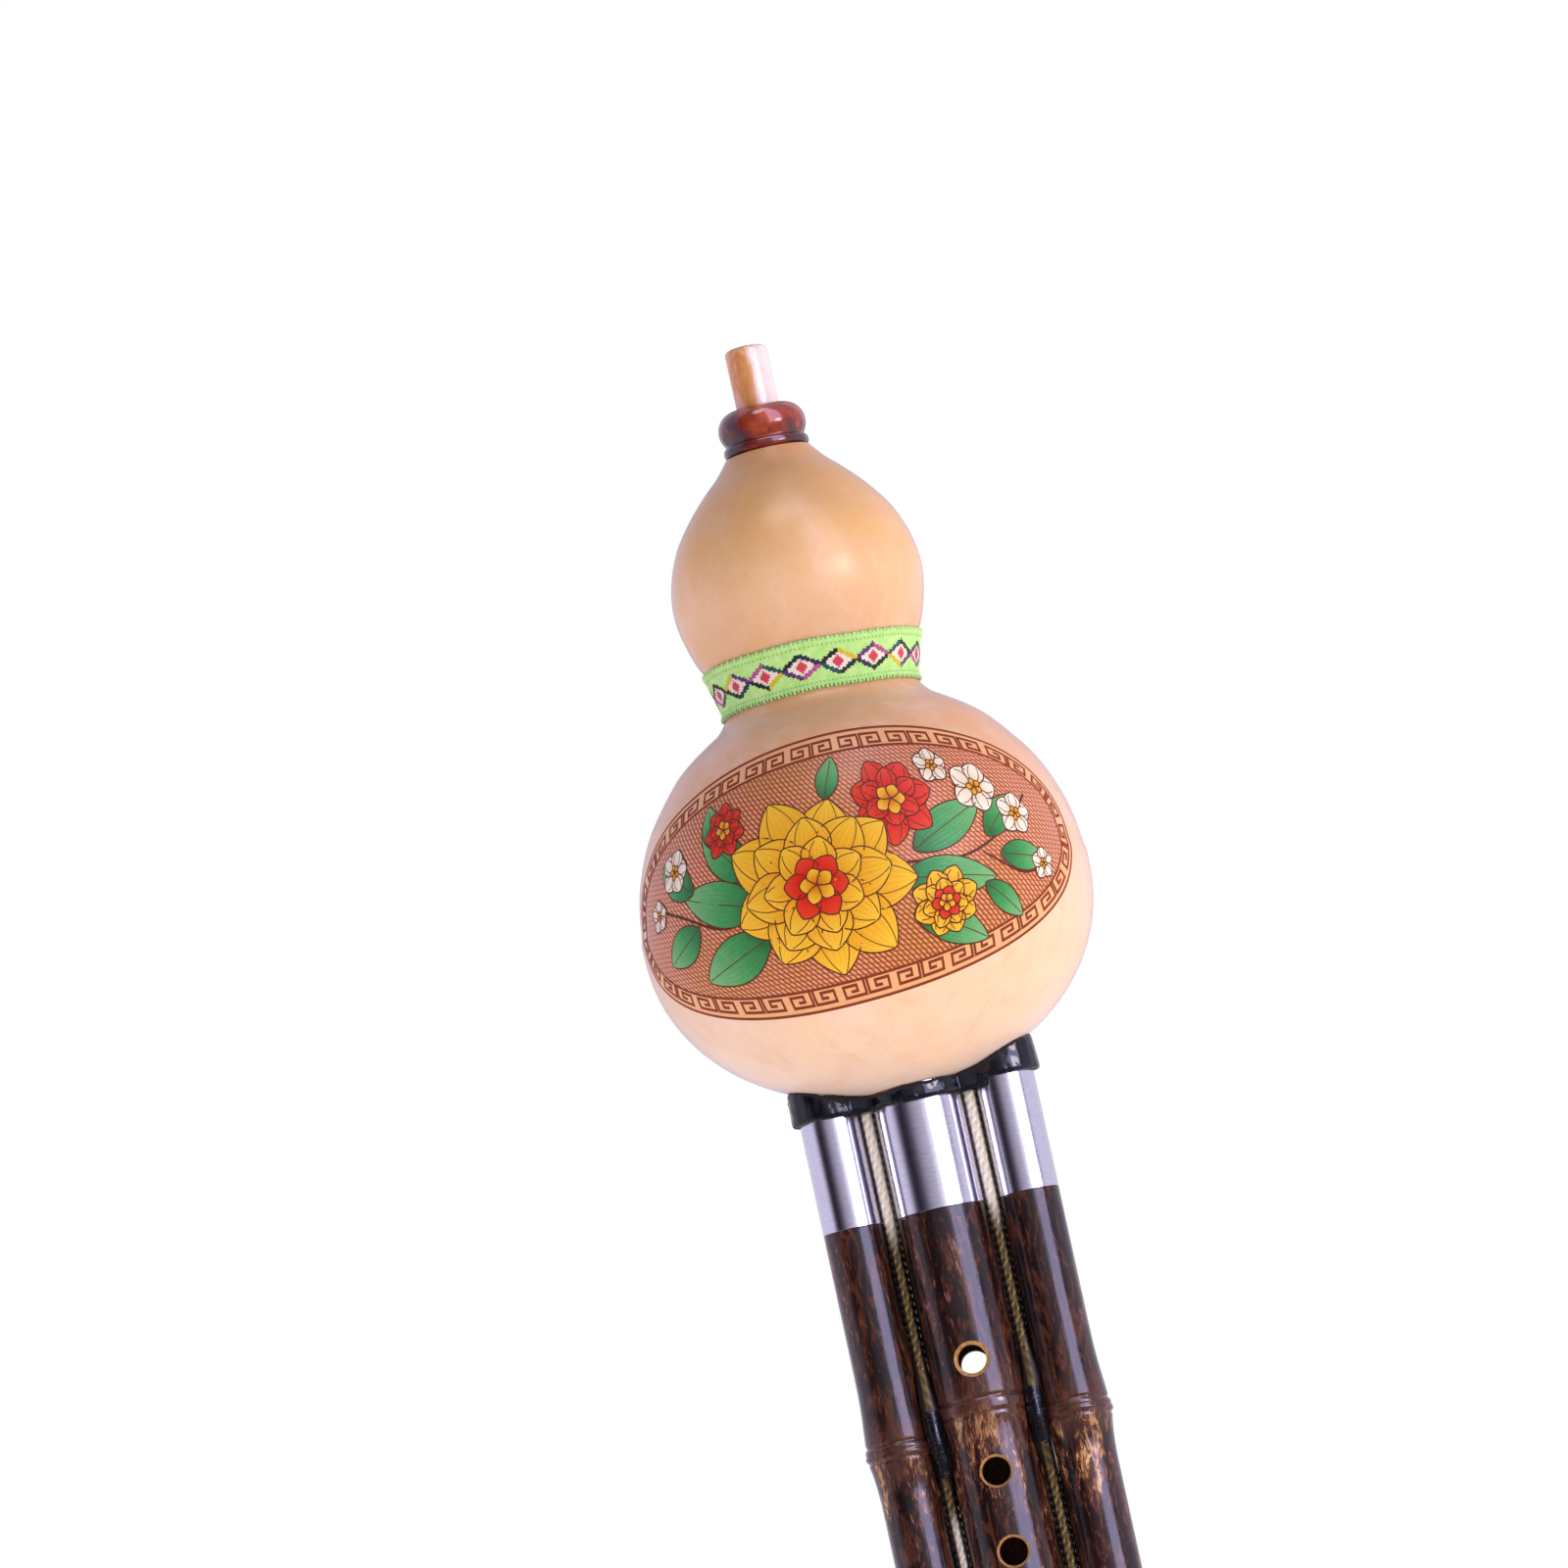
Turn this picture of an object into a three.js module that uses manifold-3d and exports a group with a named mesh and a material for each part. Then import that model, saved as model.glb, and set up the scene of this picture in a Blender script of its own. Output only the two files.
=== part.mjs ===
// A hulusi: a gourd wind chest with a mouthpiece on top and three bamboo pipes below.
// The middle pipe has the finger holes. The two side pipes are drones, each silenced by a plug
// that pulls out of its lower end. Inside the gourd each pipe ends in a reed tube with a free reed.
//
// Millimetres, +Z up. The origin is on the middle pipe's axis, where the pipes leave the gourd.
// The front, with the finger holes, faces -Y.

import * as THREE from "three";
import { mergeVertices } from "three/addons/utils/BufferGeometryUtils.js";
import Module from "manifold-3d";

const wasm = await Module();
wasm.setup();

// Fits shared by all the pieces
const seatGap = 0.3; // between pieces that are waxed, glued or pushed together
const cutOverrun = 2; // how far a cutter runs past the face that it cuts
const weldDistance = 1e-4; // corners nearer than this are one corner

// Gourd, given by its outer surface
const gourdShift = -1.6; // its axis, left of the middle pipe's axis
const gourdWall = 3.5;
const gourdBaseDrop = 1.8; // how far the base hangs below the origin
const bulbRadius = 44.7; // the big lower bulb
const bulbHeight = 35.5;
const bulbRoundnessShare = 1.04; // of an ellipse's power: above 1 is squarer
const waistRadius = 19.1;
const waistHeight = 78.4;
const crownRadius = 24.9; // the small upper bulb
const crownHeight = 100.8;
const neckRadius = 8.5;
const neckHeight = 127.6;
const mouthRadius = 6.5; // the hole in the neck

// Outline between the rings above: [share of the radius step, share of the height step]
const shoulderShares = [
  [0.055, 0.249], [0.186, 0.466], [0.342, 0.611], [0.547, 0.755], [0.705, 0.828], [0.887, 0.9],
  [0.968, 0.944],
];
const throatShares = [[0.172, 0.223], [0.362, 0.362], [0.62, 0.5], [0.922, 0.772]];
const domeShares = [[0.049, 0.195], [0.174, 0.398], [0.372, 0.582], [0.622, 0.755], [0.829, 0.874]];

// Ribbon round the waist
const ribbonWidth = 10;
const ribbonThickness = 0.7;
const ribbonRise = 3.6; // its middle, above the waist

// Turned wooden collar and mouthpiece
const collarRadius = 8.7;
const collarHeight = 8.9;
const collarSpigot = 5; // the length that plugs into the neck
const mouthpieceRadius = 4.2;
const mouthpieceBore = 2.4;
const mouthpieceRise = 12.2; // above the collar
const mouthpieceRound = 0.7; // rounding of its upper edge

// Collar outline above the neck: [share of the collar radius, share of the collar height]
const collarShares = [
  [0.93, 0], [0.975, 0.06], [0.965, 0.17], [0.9, 0.24], [0.93, 0.31], [0.99, 0.45],
  [1, 0.62], [0.96, 0.81], [0.86, 0.94], [0.72, 1],
];

// Pipes
const mainRadius = 9;
const mainBore = 5.6;
const mainLength = 255; // from the origin to the lower end
const droneRadius = 6;
const droneBore = 3.6;
const leftDroneLength = 206;
const rightDroneLength = 184;
const pipeGap = 2.5; // between the middle pipe and a drone
const mainSwell = 0.6; // how far a bamboo node stands out on the middle pipe
const droneSwell = 1.2; // and on a drone
const nodeReach = 14; // how far the swelling runs along the pipe, each way
const nodeRing = 1.7; // half the length of the ring pair

// A bamboo node's outline: [share of the reach or of the ring, share of the swell]
const nodeSwellShares = [[-1, 0], [-0.5, 0.22]];
const nodeRingShares = [[-1.2, 0.55], [-0.5, 1], [0, 0.6], [0.5, 0.95], [1.6, 0.7]];
const nodeFallShares = [[0.5, 0.28], [1, 0]];

// Where the nodes lie: shares of each pipe's length
const mainNodeShares = [0.257, 0.84];
const leftNodeShares = [0.342, 0.79];
const rightNodeShares = [0.377, 0.8];

// Holes in the middle pipe: shares of its length
const fingerHoleRadius = 2.8;
const fingerHoleShares = [0.22, 0.3075, 0.37, 0.445, 0.512, 0.598];
const thumbHoleShare = 0.2212;
const outletHoleShares = [0.71, 0.775];
const cordHoleRadius = 1.5;
const cordHoleShare = 0.925;
const holeBevel = 0.9; // width of the bevel round a hole
const holeBevelDepth = 0.5;

// Metal ferrules, from inside the gourd down to the bamboo
const ferruleWall = 0.7;
const ferruleDrop = 26; // below the origin
const ferruleRise = 9.5; // above the origin, inside the gourd
const tenonLength = 13.7; // the bamboo's stretch inside the ferrule

// Reed tubes inside the gourd
const mainTubeRise = 52;
const droneTubeRise = 45;
const tubeFlatDepth = 1.4; // how deep the seat for the reed plate is cut
const tubeCapHeight = 2.4;
const tubeCapPlug = 4;

// Reeds
const reedThickness = 0.5;
const tongueThickness = 0.3;
const reedLengthShare = 0.56; // of the tube's rise
const reedTopShare = 0.9; // of the tube's rise
const slotLengthShare = 0.7; // of the plate's length
const slotWidthShare = 0.42; // of the plate's width
const tongueTipShare = 0.75; // of the tongue's root width
const tubeWindowMargin = 0.4; // the tube's window, past the slot on each side
const reedWaxWidth = 1;

// The cork in the middle pipe's lower end, and the drone plugs
const endCorkLength = 9;
const endCorkInset = 1.5;
const plugLength = 12; // in the bore
const plugKnobRadius = 5.2;
const plugKnobHeight = 8;
const plugNeckShare = 0.62; // of the knob's radius
const corkWall = 1;
const corkLength = 8;

// Gilt cords in the grooves between the pipes
const cordRadius = 1;
const cordSides = 8;
const cordStep = 4.7; // length of cord from one section to the next
const cordEndMargin = 12; // the lower end, above the drone's lower end

// Black wax at the roots and in the grooves
const mainWaxDrop = 4.2; // the wax's lower edge, below the origin
const leftWaxDrop = 3.9;
const rightWaxDrop = 2.6;
const rootWaxRise = 9;
const rootWaxWidth = 0.7; // past the ferrules
const rootWaxFlare = 0.5; // how much wider the wax is at its lower edge
const webWidthShare = 0.9; // of a drone's radius, the wax between the pipes
const grooveWaxCover = 0.6; // how thick a bead lies over the cord
const grooveWaxSpread = 0.9; // how far a bead reaches past the cord on each side
const nodeWaxLength = 20;
const endWaxLength = 11;

// Facets, and the steps of the gourd's outline: [up to the widest ring, from there to the neck]
const skinSteps = [8, 27];
const hollowSteps = [6, 13];
const gourdFacets = 40;
const mainFacets = 28;
const droneFacets = 20;
const smallFacets = 20;
const holeFacets = 12;
const beadRings = 10;

const colours = {
  gourd: 0xe6b184, ribbon: 0xa9e886, redWood: 0x7c2413, paleWood: 0xdca982, steel: 0xc9c7d0,
  bamboo: 0x3a2018, wax: 0x15141b, gilt: 0x7d6433, bronze: 0xb98545, beeswax: 0x8a5a1e,
  tube: 0xb89468, plug: 0x2a1712, cork: 0xb98a5c,
};

function material(colour, roughness = 0.5, metalness = 0) {
  return new THREE.MeshStandardMaterial({ color: colour, roughness, metalness });
}

const finishes = {
  gourd: material(colours.gourd, 0.35),
  ribbon: material(colours.ribbon, 0.9),
  redWood: material(colours.redWood, 0.2),
  paleWood: material(colours.paleWood, 0.45),
  steel: material(colours.steel, 0.12, 1),
  bamboo: material(colours.bamboo, 0.2),
  wax: material(colours.wax, 0.25),
  gilt: material(colours.gilt, 0.5, 0.4),
  bronze: material(colours.bronze, 0.35, 1),
  beeswax: material(colours.beeswax, 0.6),
  tube: material(colours.tube, 0.6),
  plug: material(colours.plug, 0.3),
  cork: material(colours.cork, 0.9),
};

function between(from, to, share) {
  return from + (to - from) * share;
}

// A solid turned about Z from [radius, height] points, listed with the outside on their right.
function turned(points, facets) {
  const profile = points.map(([radius, height]) => new THREE.Vector2(radius, height));
  return new THREE.LatheGeometry(profile, facets).rotateX(Math.PI / 2);
}

// A tube about Z: the outline is listed upwards, then the bore comes back down.
function turnedTube(outline, bore, facets) {
  const [first, last] = [outline[0], outline[outline.length - 1]];
  return turned([...outline, [bore, last[1]], [bore, first[1]], first], facets);
}

function cylinder(radius, low, high, facets) {
  return turned([[0, low], [radius, low], [radius, high], [0, high]], facets);
}

function box(width, depth, height, x, y, z) {
  return new THREE.BoxGeometry(width, depth, height).translate(x, y, z);
}

function toSolid(geometry) {
  const bare = geometry.clone();
  bare.deleteAttribute("normal");
  bare.deleteAttribute("uv");
  const welded = mergeVertices(bare, weldDistance);
  return new wasm.Manifold(new wasm.Mesh({
    numProp: 3,
    vertProperties: welded.attributes.position.array,
    triVerts: new Uint32Array(welded.index.array),
  }));
}

function toGeometry(solid) {
  const { vertProperties, triVerts } = solid.getMesh();
  const geometry = new THREE.BufferGeometry();
  geometry.setAttribute("position", new THREE.BufferAttribute(vertProperties, 3));
  geometry.setIndex(new THREE.BufferAttribute(triVerts, 1));
  geometry.computeVertexNormals();
  return geometry;
}

function cut(geometry, cutters) {
  return toGeometry(cutters.reduce((solid, cutter) => solid.subtract(toSolid(cutter)), toSolid(geometry)));
}

function join(geometries) {
  const [first, ...rest] = geometries.map(toSolid);
  return toGeometry(rest.reduce((solid, next) => solid.add(next), first));
}

function piece(name, geometry, finish) {
  const mesh = new THREE.Mesh(geometry, finishes[finish]);
  mesh.name = name;
  return mesh;
}

// Gourd outline, from the base on the axis up to the neck

function stretch([fromRadius, fromHeight], [toRadius, toHeight], shares) {
  return shares.map(([radiusShare, heightShare]) => [
    between(fromRadius, toRadius, radiusShare),
    between(fromHeight, toHeight, heightShare),
  ]);
}

// The lower half of the bulb is a superellipse from the base to the widest ring.
function bulbFloor(steps) {
  const points = [];
  for (let i = 0; i < steps; i += 1) {
    const angle = (Math.PI / 2) * (i / steps);
    const radius = bulbRadius * Math.sin(angle) ** (1 / bulbRoundnessShare);
    const depth = (bulbHeight + gourdBaseDrop) * Math.cos(angle) ** (1 / bulbRoundnessShare);
    points.push([radius, bulbHeight - depth]);
  }
  return points;
}

function gourdOutline([floorSteps, upperSteps]) {
  const bulb = [bulbRadius, bulbHeight];
  const waist = [waistRadius, waistHeight];
  const crown = [crownRadius, crownHeight];
  const neck = [neckRadius, neckHeight];
  const upper = [
    bulb, ...stretch(bulb, waist, shoulderShares),
    waist, ...stretch(waist, crown, throatShares),
    crown, ...stretch(crown, neck, domeShares),
    neck,
  ].map(([radius, height]) => new THREE.Vector2(radius, height));
  const smooth = new THREE.SplineCurve(upper).getSpacedPoints(upperSteps);
  return [...bulbFloor(floorSteps), ...smooth.map((point) => [point.x, point.y])];
}

// The outline moved along its normals: outwards when the distance is positive.
function offsetOutline(outline, distance) {
  return outline.map(([radius, height], i) => {
    const [beforeRadius, beforeHeight] = outline[Math.max(i - 1, 0)];
    const [afterRadius, afterHeight] = outline[Math.min(i + 1, outline.length - 1)];
    const normal = new THREE.Vector2(afterHeight - beforeHeight, beforeRadius - afterRadius);
    if (i === 0) normal.set(0, -1);
    normal.normalize().multiplyScalar(distance);
    return [radius + normal.x, height + normal.y];
  });
}

function onAxis(outline) {
  return [...outline, [0, outline[outline.length - 1][1]]];
}

// Pipe layout: the middle pipe on the axis, a drone on each side.
const droneOffset = mainRadius + pipeGap + droneRadius;
const pipes = [
  {
    name: "main", x: 0, radius: mainRadius, bore: mainBore, length: mainLength, facets: mainFacets,
    tubeRise: mainTubeRise, nodes: mainNodeShares, swell: mainSwell, waxDrop: mainWaxDrop,
  },
  {
    name: "left", x: -droneOffset, radius: droneRadius, bore: droneBore, length: leftDroneLength,
    facets: droneFacets, tubeRise: droneTubeRise, nodes: leftNodeShares, swell: droneSwell,
    waxDrop: leftWaxDrop,
  },
  {
    name: "right", x: droneOffset, radius: droneRadius, bore: droneBore, length: rightDroneLength,
    facets: droneFacets, tubeRise: droneTubeRise, nodes: rightNodeShares, swell: droneSwell,
    waxDrop: rightWaxDrop,
  },
];

// The gourd's outer form, grown all over by a distance.
function gourdForm(distance, steps = skinSteps) {
  return turned(onAxis(offsetOutline(gourdOutline(steps), distance)), gourdFacets);
}

function gourdShell() {
  const mouth = cylinder(
    mouthRadius, neckHeight - 2 * collarSpigot, neckHeight + cutOverrun, smallFacets);
  const rootHoles = pipes.map((pipe) => cylinder(
    pipe.radius + seatGap, -gourdBaseDrop - cutOverrun, pipe.tubeRise, pipe.facets,
  ).translate(pipe.x - gourdShift, 0, 0));
  return cut(gourdForm(0), [gourdForm(-gourdWall, hollowSteps), mouth, ...rootHoles]);
}

// The ribbon follows the gourd's form over its own width.
function waistRibbon() {
  const low = waistHeight + ribbonRise - ribbonWidth / 2;
  const high = low + ribbonWidth;
  return cut(gourdForm(seatGap + ribbonThickness), [
    gourdForm(seatGap),
    cylinder(bulbRadius + cutOverrun, -gourdBaseDrop - cutOverrun, low, smallFacets),
    cylinder(bulbRadius + cutOverrun, high, neckHeight + cutOverrun, smallFacets),
  ]);
}

function mouthCollar() {
  const bore = mouthpieceRadius + seatGap;
  const base = neckHeight + seatGap;
  const outside = collarShares.map(([radiusShare, heightShare]) => [
    collarRadius * radiusShare, base + collarHeight * heightShare,
  ]);
  const spigotRadius = mouthRadius - seatGap;
  const spigotLow = base - collarSpigot;
  return turned([
    [bore, spigotLow], [spigotRadius, spigotLow], [spigotRadius, base], ...outside,
    [bore, base + collarHeight], [bore, spigotLow],
  ], smallFacets);
}

function mouthpiece() {
  const low = neckHeight - collarSpigot;
  const top = neckHeight + seatGap + collarHeight + mouthpieceRise;
  return turnedTube([
    [mouthpieceRadius, low], [mouthpieceRadius, top - mouthpieceRound],
    [mouthpieceRadius - mouthpieceRound, top],
  ], mouthpieceBore, smallFacets);
}

// Bamboo

function nodeOutline(height, pipe) {
  const rise = (shares, reach) => shares.map(([lengthShare, swellShare]) => [
    pipe.radius + pipe.swell * swellShare, height + reach * lengthShare,
  ]);
  return [
    ...rise(nodeSwellShares, nodeReach), ...rise(nodeRingShares, nodeRing),
    ...rise(nodeFallShares, nodeReach),
  ];
}

function nodeHeights(pipe) {
  return pipe.nodes.map((share) => -pipe.length * share).reverse();
}

function pipeOutline(pipe) {
  const shoulder = -ferruleDrop - seatGap;
  const tenonRadius = pipe.radius - ferruleWall - seatGap;
  return [
    [pipe.radius, -pipe.length],
    ...nodeHeights(pipe).flatMap((height) => nodeOutline(height, pipe)),
    [pipe.radius, shoulder], [tenonRadius, shoulder], [tenonRadius, shoulder + tenonLength],
  ];
}

// A cutter for one hole through the front wall, with a bevelled rim. Turned round for the back.
function holeCutter(pipe, radius, height, turn) {
  const rim = pipe.radius - holeBevelDepth;
  return turned([
    [0, 0], [radius, 0], [radius, rim], [radius + holeBevel, pipe.radius],
    [radius + holeBevel, pipe.radius + cutOverrun], [0, pipe.radius + cutOverrun],
  ], holeFacets).rotateX(Math.PI / 2).rotateZ(turn).translate(0, 0, height);
}

function pipeHoles(pipe) {
  const at = (share) => -pipe.length * share;
  return [
    ...fingerHoleShares.map((share) => holeCutter(pipe, fingerHoleRadius, at(share), 0)),
    ...[thumbHoleShare, ...outletHoleShares].map(
      (share) => holeCutter(pipe, fingerHoleRadius, at(share), Math.PI)),
    ...[Math.PI / 2, -Math.PI / 2].map(
      (turn) => holeCutter(pipe, cordHoleRadius, at(cordHoleShare), turn)),
  ];
}

function bambooPipe(pipe) {
  const tube = turnedTube(pipeOutline(pipe), pipe.bore, pipe.facets);
  return pipe.name === "main" ? cut(tube, pipeHoles(pipe)) : tube;
}

function ferrule(pipe) {
  return turnedTube(
    [[pipe.radius, -ferruleDrop], [pipe.radius, ferruleRise]], pipe.radius - ferruleWall, pipe.facets);
}

// Reed tube and reed: sizes that follow the pipe

function reedSizes(pipe) {
  const tubeRadius = pipe.radius - ferruleWall - seatGap;
  const flat = tubeRadius - tubeFlatDepth;
  const plateWidth = 2 * Math.sqrt(tubeRadius ** 2 - flat ** 2);
  const plateLength = pipe.tubeRise * reedLengthShare;
  return {
    tubeRadius, flat, plateWidth, plateLength,
    plateMiddle: pipe.tubeRise * reedTopShare - plateLength / 2,
    slotWidth: plateWidth * slotWidthShare,
    slotLength: plateLength * slotLengthShare,
  };
}

function reedTube(pipe) {
  const { tubeRadius, flat, plateWidth, plateLength, plateMiddle, slotWidth, slotLength } = reedSizes(pipe);
  const low = -ferruleDrop + tenonLength;
  const tube = turnedTube([[tubeRadius, low], [tubeRadius, pipe.tubeRise]], pipe.bore, pipe.facets);
  const margin = 2 * tubeWindowMargin;
  const seatDepth = tubeFlatDepth + cutOverrun;
  const seat = box(
    plateWidth + 2 * tubeRadius, seatDepth, plateLength + 2 * reedWaxWidth + margin,
    0, -flat - seatDepth / 2, plateMiddle);
  const window = box(
    slotWidth + margin, tubeRadius, slotLength + margin, 0, -tubeRadius, plateMiddle);
  return cut(tube, [seat, window]);
}

function reedPlate(pipe) {
  const { flat, plateWidth, plateLength, plateMiddle, slotWidth, slotLength } = reedSizes(pipe);
  const y = -flat - seatGap - reedThickness / 2;
  const plate = box(plateWidth, reedThickness, plateLength, 0, y, plateMiddle);
  const slot = box(slotWidth, reedThickness + 2 * cutOverrun, slotLength, 0, y, plateMiddle);
  return cut(plate, [slot]);
}

// The tongue stands in the slot, joined to the plate at its lower end on the real reed.
function reedTongue(pipe) {
  const { flat, plateMiddle, slotWidth, slotLength } = reedSizes(pipe);
  const y = -flat - seatGap - reedThickness / 2;
  const root = slotWidth / 2 - seatGap;
  const tip = root * tongueTipShare;
  const half = slotLength / 2 - seatGap;
  const outline = new THREE.Shape([
    new THREE.Vector2(-root, -half), new THREE.Vector2(root, -half),
    new THREE.Vector2(tip, half), new THREE.Vector2(-tip, half),
  ]);
  return new THREE.ExtrudeGeometry(outline, { depth: tongueThickness, bevelEnabled: false })
    .translate(0, 0, -tongueThickness / 2).rotateX(Math.PI / 2).translate(0, y, plateMiddle);
}

// A bead of wax runs round the plate's edge.
function reedWax(pipe) {
  const { flat, plateWidth, plateLength, plateMiddle } = reedSizes(pipe);
  const y = -flat - seatGap - reedThickness / 2;
  const inner = 2 * seatGap;
  const outer = inner + 2 * reedWaxWidth;
  const bead = box(plateWidth + outer, reedThickness, plateLength + outer, 0, y, plateMiddle);
  const middle = box(
    plateWidth + inner, reedThickness + cutOverrun, plateLength + inner, 0, y, plateMiddle);
  return cut(bead, [middle]);
}

function tubeCap(pipe) {
  const { tubeRadius } = reedSizes(pipe);
  const plug = pipe.bore - seatGap;
  const seat = pipe.tubeRise + seatGap;
  return turned([
    [0, seat - tubeCapPlug], [plug, seat - tubeCapPlug], [plug, seat], [tubeRadius, seat],
    [tubeRadius, seat + tubeCapHeight], [0, seat + tubeCapHeight],
  ], pipe.facets);
}

// A cork, set a little way into the lower end of the middle pipe's bore.
function endCork(pipe) {
  const low = -pipe.length + endCorkInset;
  return cylinder(pipe.bore - seatGap, low, low + endCorkLength, pipe.facets);
}

// A drone plug: a turned knob on a stem, with a cork sleeve that grips the bore.
function plugKnob(pipe) {
  const top = -pipe.length + plugLength;
  const seat = -pipe.length - seatGap;
  const low = seat - plugKnobHeight;
  const stem = pipe.bore - corkWall - 2 * seatGap;
  const neck = plugKnobRadius * plugNeckShare;
  const corkTop = seat + corkLength + 2 * seatGap;
  return turned([
    [0, low], [neck, low], [plugKnobRadius, low + plugKnobHeight / 4],
    [plugKnobRadius, low + plugKnobHeight / 2], [neck, low + plugKnobHeight * 3 / 4],
    [plugKnobRadius - corkWall, seat], [stem, seat], [stem, corkTop], [pipe.bore - seatGap, corkTop],
    [pipe.bore - seatGap, top], [0, top],
  ], smallFacets);
}

function plugCork(pipe) {
  const low = -pipe.length;
  const outer = pipe.bore - seatGap;
  return turnedTube([[outer, low], [outer, low + corkLength]], outer - corkWall, smallFacets);
}

// Grooves between the middle pipe and a drone

// The pipe's largest radius within a reach of a height.
function widestNear(pipe, height, reach) {
  const near = nodeHeights(pipe).flatMap((node) => nodeOutline(node, pipe))
    .filter(([, level]) => Math.abs(level - height) <= reach)
    .map(([radius]) => radius);
  return Math.max(pipe.radius, ...near);
}

// Where a round thing rests in the front groove, a seat gap clear of both pipes.
function grooveCentre(drone, height, radius, reach) {
  const [main] = pipes;
  const toMain = widestNear(main, height, reach) + radius + seatGap;
  const toDrone = widestNear(drone, height, reach) + radius + seatGap;
  const spacing = Math.abs(drone.x);
  const x = (spacing ** 2 + toMain ** 2 - toDrone ** 2) / (2 * spacing);
  const y = -Math.sqrt(Math.max(toMain ** 2 - x ** 2, 0));
  return new THREE.Vector3(x * Math.sign(drone.x), y, height);
}

// The lower edge of the wax between the middle pipe and a drone.
function webDrop(drone) {
  const [main] = pipes;
  return Math.max(main.waxDrop, drone.waxDrop);
}

// The cord's centreline in the front groove, from the wax at the roots to its lower end.
function cordRoute(drone) {
  const high = -webDrop(drone) - seatGap;
  const low = -drone.length + cordEndMargin;
  const steps = Math.ceil((high - low) / cordStep);
  const points = [];
  for (let i = 0; i <= steps; i += 1) {
    points.push(grooveCentre(drone, between(high, low, i / steps), cordRadius, cordStep));
  }
  return { curve: new THREE.CatmullRomCurve3(points), steps };
}

function grooveCord(drone, radius) {
  const { curve, steps } = cordRoute(drone);
  const section = new THREE.Shape();
  for (let i = 0; i < cordSides; i += 1) {
    const angle = (2 * Math.PI * i) / cordSides;
    section[i ? "lineTo" : "moveTo"](radius * Math.cos(angle), radius * Math.sin(angle));
  }
  return new THREE.ExtrudeGeometry(section, { steps, extrudePath: curve, bevelEnabled: false });
}

// The cord's centre at each height, held to the cord's own ends.
function cordCentres(drone) {
  const { curve, steps } = cordRoute(drone);
  const sections = curve.getSpacedPoints(steps);
  return (height) => {
    const level = THREE.MathUtils.clamp(height, sections[steps].z, sections[0].z);
    const next = Math.max(sections.findIndex((point) => point.z <= level), 1);
    const [upper, lower] = [sections[next - 1], sections[next]];
    return upper.clone().lerp(lower, (upper.z - level) / (upper.z - lower.z));
  };
}

function clearOfPipe(pipe, low, high) {
  const reach = widestNear(pipe, (low + high) / 2, (high - low) / 2) + seatGap;
  return cylinder(reach, low, high, pipe.facets).translate(pipe.x, 0, 0);
}

// A long bead of wax in front of the cord, filling the groove from pipe to pipe. It follows the
// cord, and its flat back lies level with the cord's centre.
function grooveWax(drone, height, length) {
  const [main] = pipes;
  const half = length / 2;
  const channel = cordRadius + seatGap;
  const centreAt = cordCentres(drone);
  const bead = new THREE.SphereGeometry(1, smallFacets, beadRings)
    .rotateX(Math.PI / 2).scale(channel + grooveWaxSpread, channel + grooveWaxCover, half);
  const corners = bead.attributes.position;
  for (let i = 0; i < corners.count; i += 1) {
    const level = height + corners.getZ(i);
    const { x, y } = centreAt(level);
    corners.setXYZ(i, x + corners.getX(i), y + Math.min(corners.getY(i), 0), level);
  }
  return cut(bead, [
    grooveCord(drone, channel),
    clearOfPipe(main, height - half, height + half), clearOfPipe(drone, height - half, height + half),
  ]);
}

// Black wax fills the corner between the gourd's base and the ferrules, all round.
function rootWax() {
  const [, ...drones] = pipes;
  const roots = pipes.map((pipe) => turned([
    [0, -pipe.waxDrop], [pipe.radius + rootWaxWidth + rootWaxFlare, -pipe.waxDrop],
    [pipe.radius + rootWaxWidth, rootWaxRise], [0, rootWaxRise],
  ], pipe.facets).translate(pipe.x, 0, 0));
  const webs = drones.map((drone) => {
    const height = webDrop(drone) + rootWaxRise;
    return box(
      droneOffset, 2 * droneRadius * webWidthShare, height, drone.x / 2, 0, rootWaxRise - height / 2);
  });
  const gourdSide = gourdForm(seatGap).translate(gourdShift, 0, 0);
  const low = -Math.max(...drones.map(webDrop)) - cutOverrun;
  const ferrules = pipes.map((pipe) => cylinder(
    pipe.radius + seatGap, low, rootWaxRise + cutOverrun, pipe.facets).translate(pipe.x, 0, 0));
  return cut(join([...roots, ...webs]), [gourdSide, ...ferrules]);
}

function gourdGroup() {
  const group = new THREE.Group();
  group.position.x = gourdShift;
  group.add(
    piece("gourd_shell", gourdShell(), "gourd"),
    piece("waist_ribbon", waistRibbon(), "ribbon"),
    piece("mouth_collar", mouthCollar(), "redWood"),
    piece("mouthpiece", mouthpiece(), "paleWood"),
  );
  return group;
}

function pipeGroup(pipe) {
  const group = new THREE.Group();
  group.position.x = pipe.x;
  group.add(
    piece(`ferrule_${pipe.name}`, ferrule(pipe), "steel"),
    piece(`pipe_${pipe.name}`, bambooPipe(pipe), "bamboo"),
    piece(`reed_tube_${pipe.name}`, reedTube(pipe), "tube"),
    piece(`reed_plate_${pipe.name}`, reedPlate(pipe), "bronze"),
    piece(`reed_tongue_${pipe.name}`, reedTongue(pipe), "bronze"),
    piece(`reed_wax_${pipe.name}`, reedWax(pipe), "beeswax"),
    piece(`tube_cap_${pipe.name}`, tubeCap(pipe), "tube"),
  );
  if (pipe.name === "main") {
    group.add(piece("end_cork", endCork(pipe), "cork"));
  } else {
    group.add(
      piece(`drone_plug_${pipe.name}`, plugKnob(pipe), "plug"),
      piece(`plug_cork_${pipe.name}`, plugCork(pipe), "cork"),
    );
  }
  return group;
}

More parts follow.
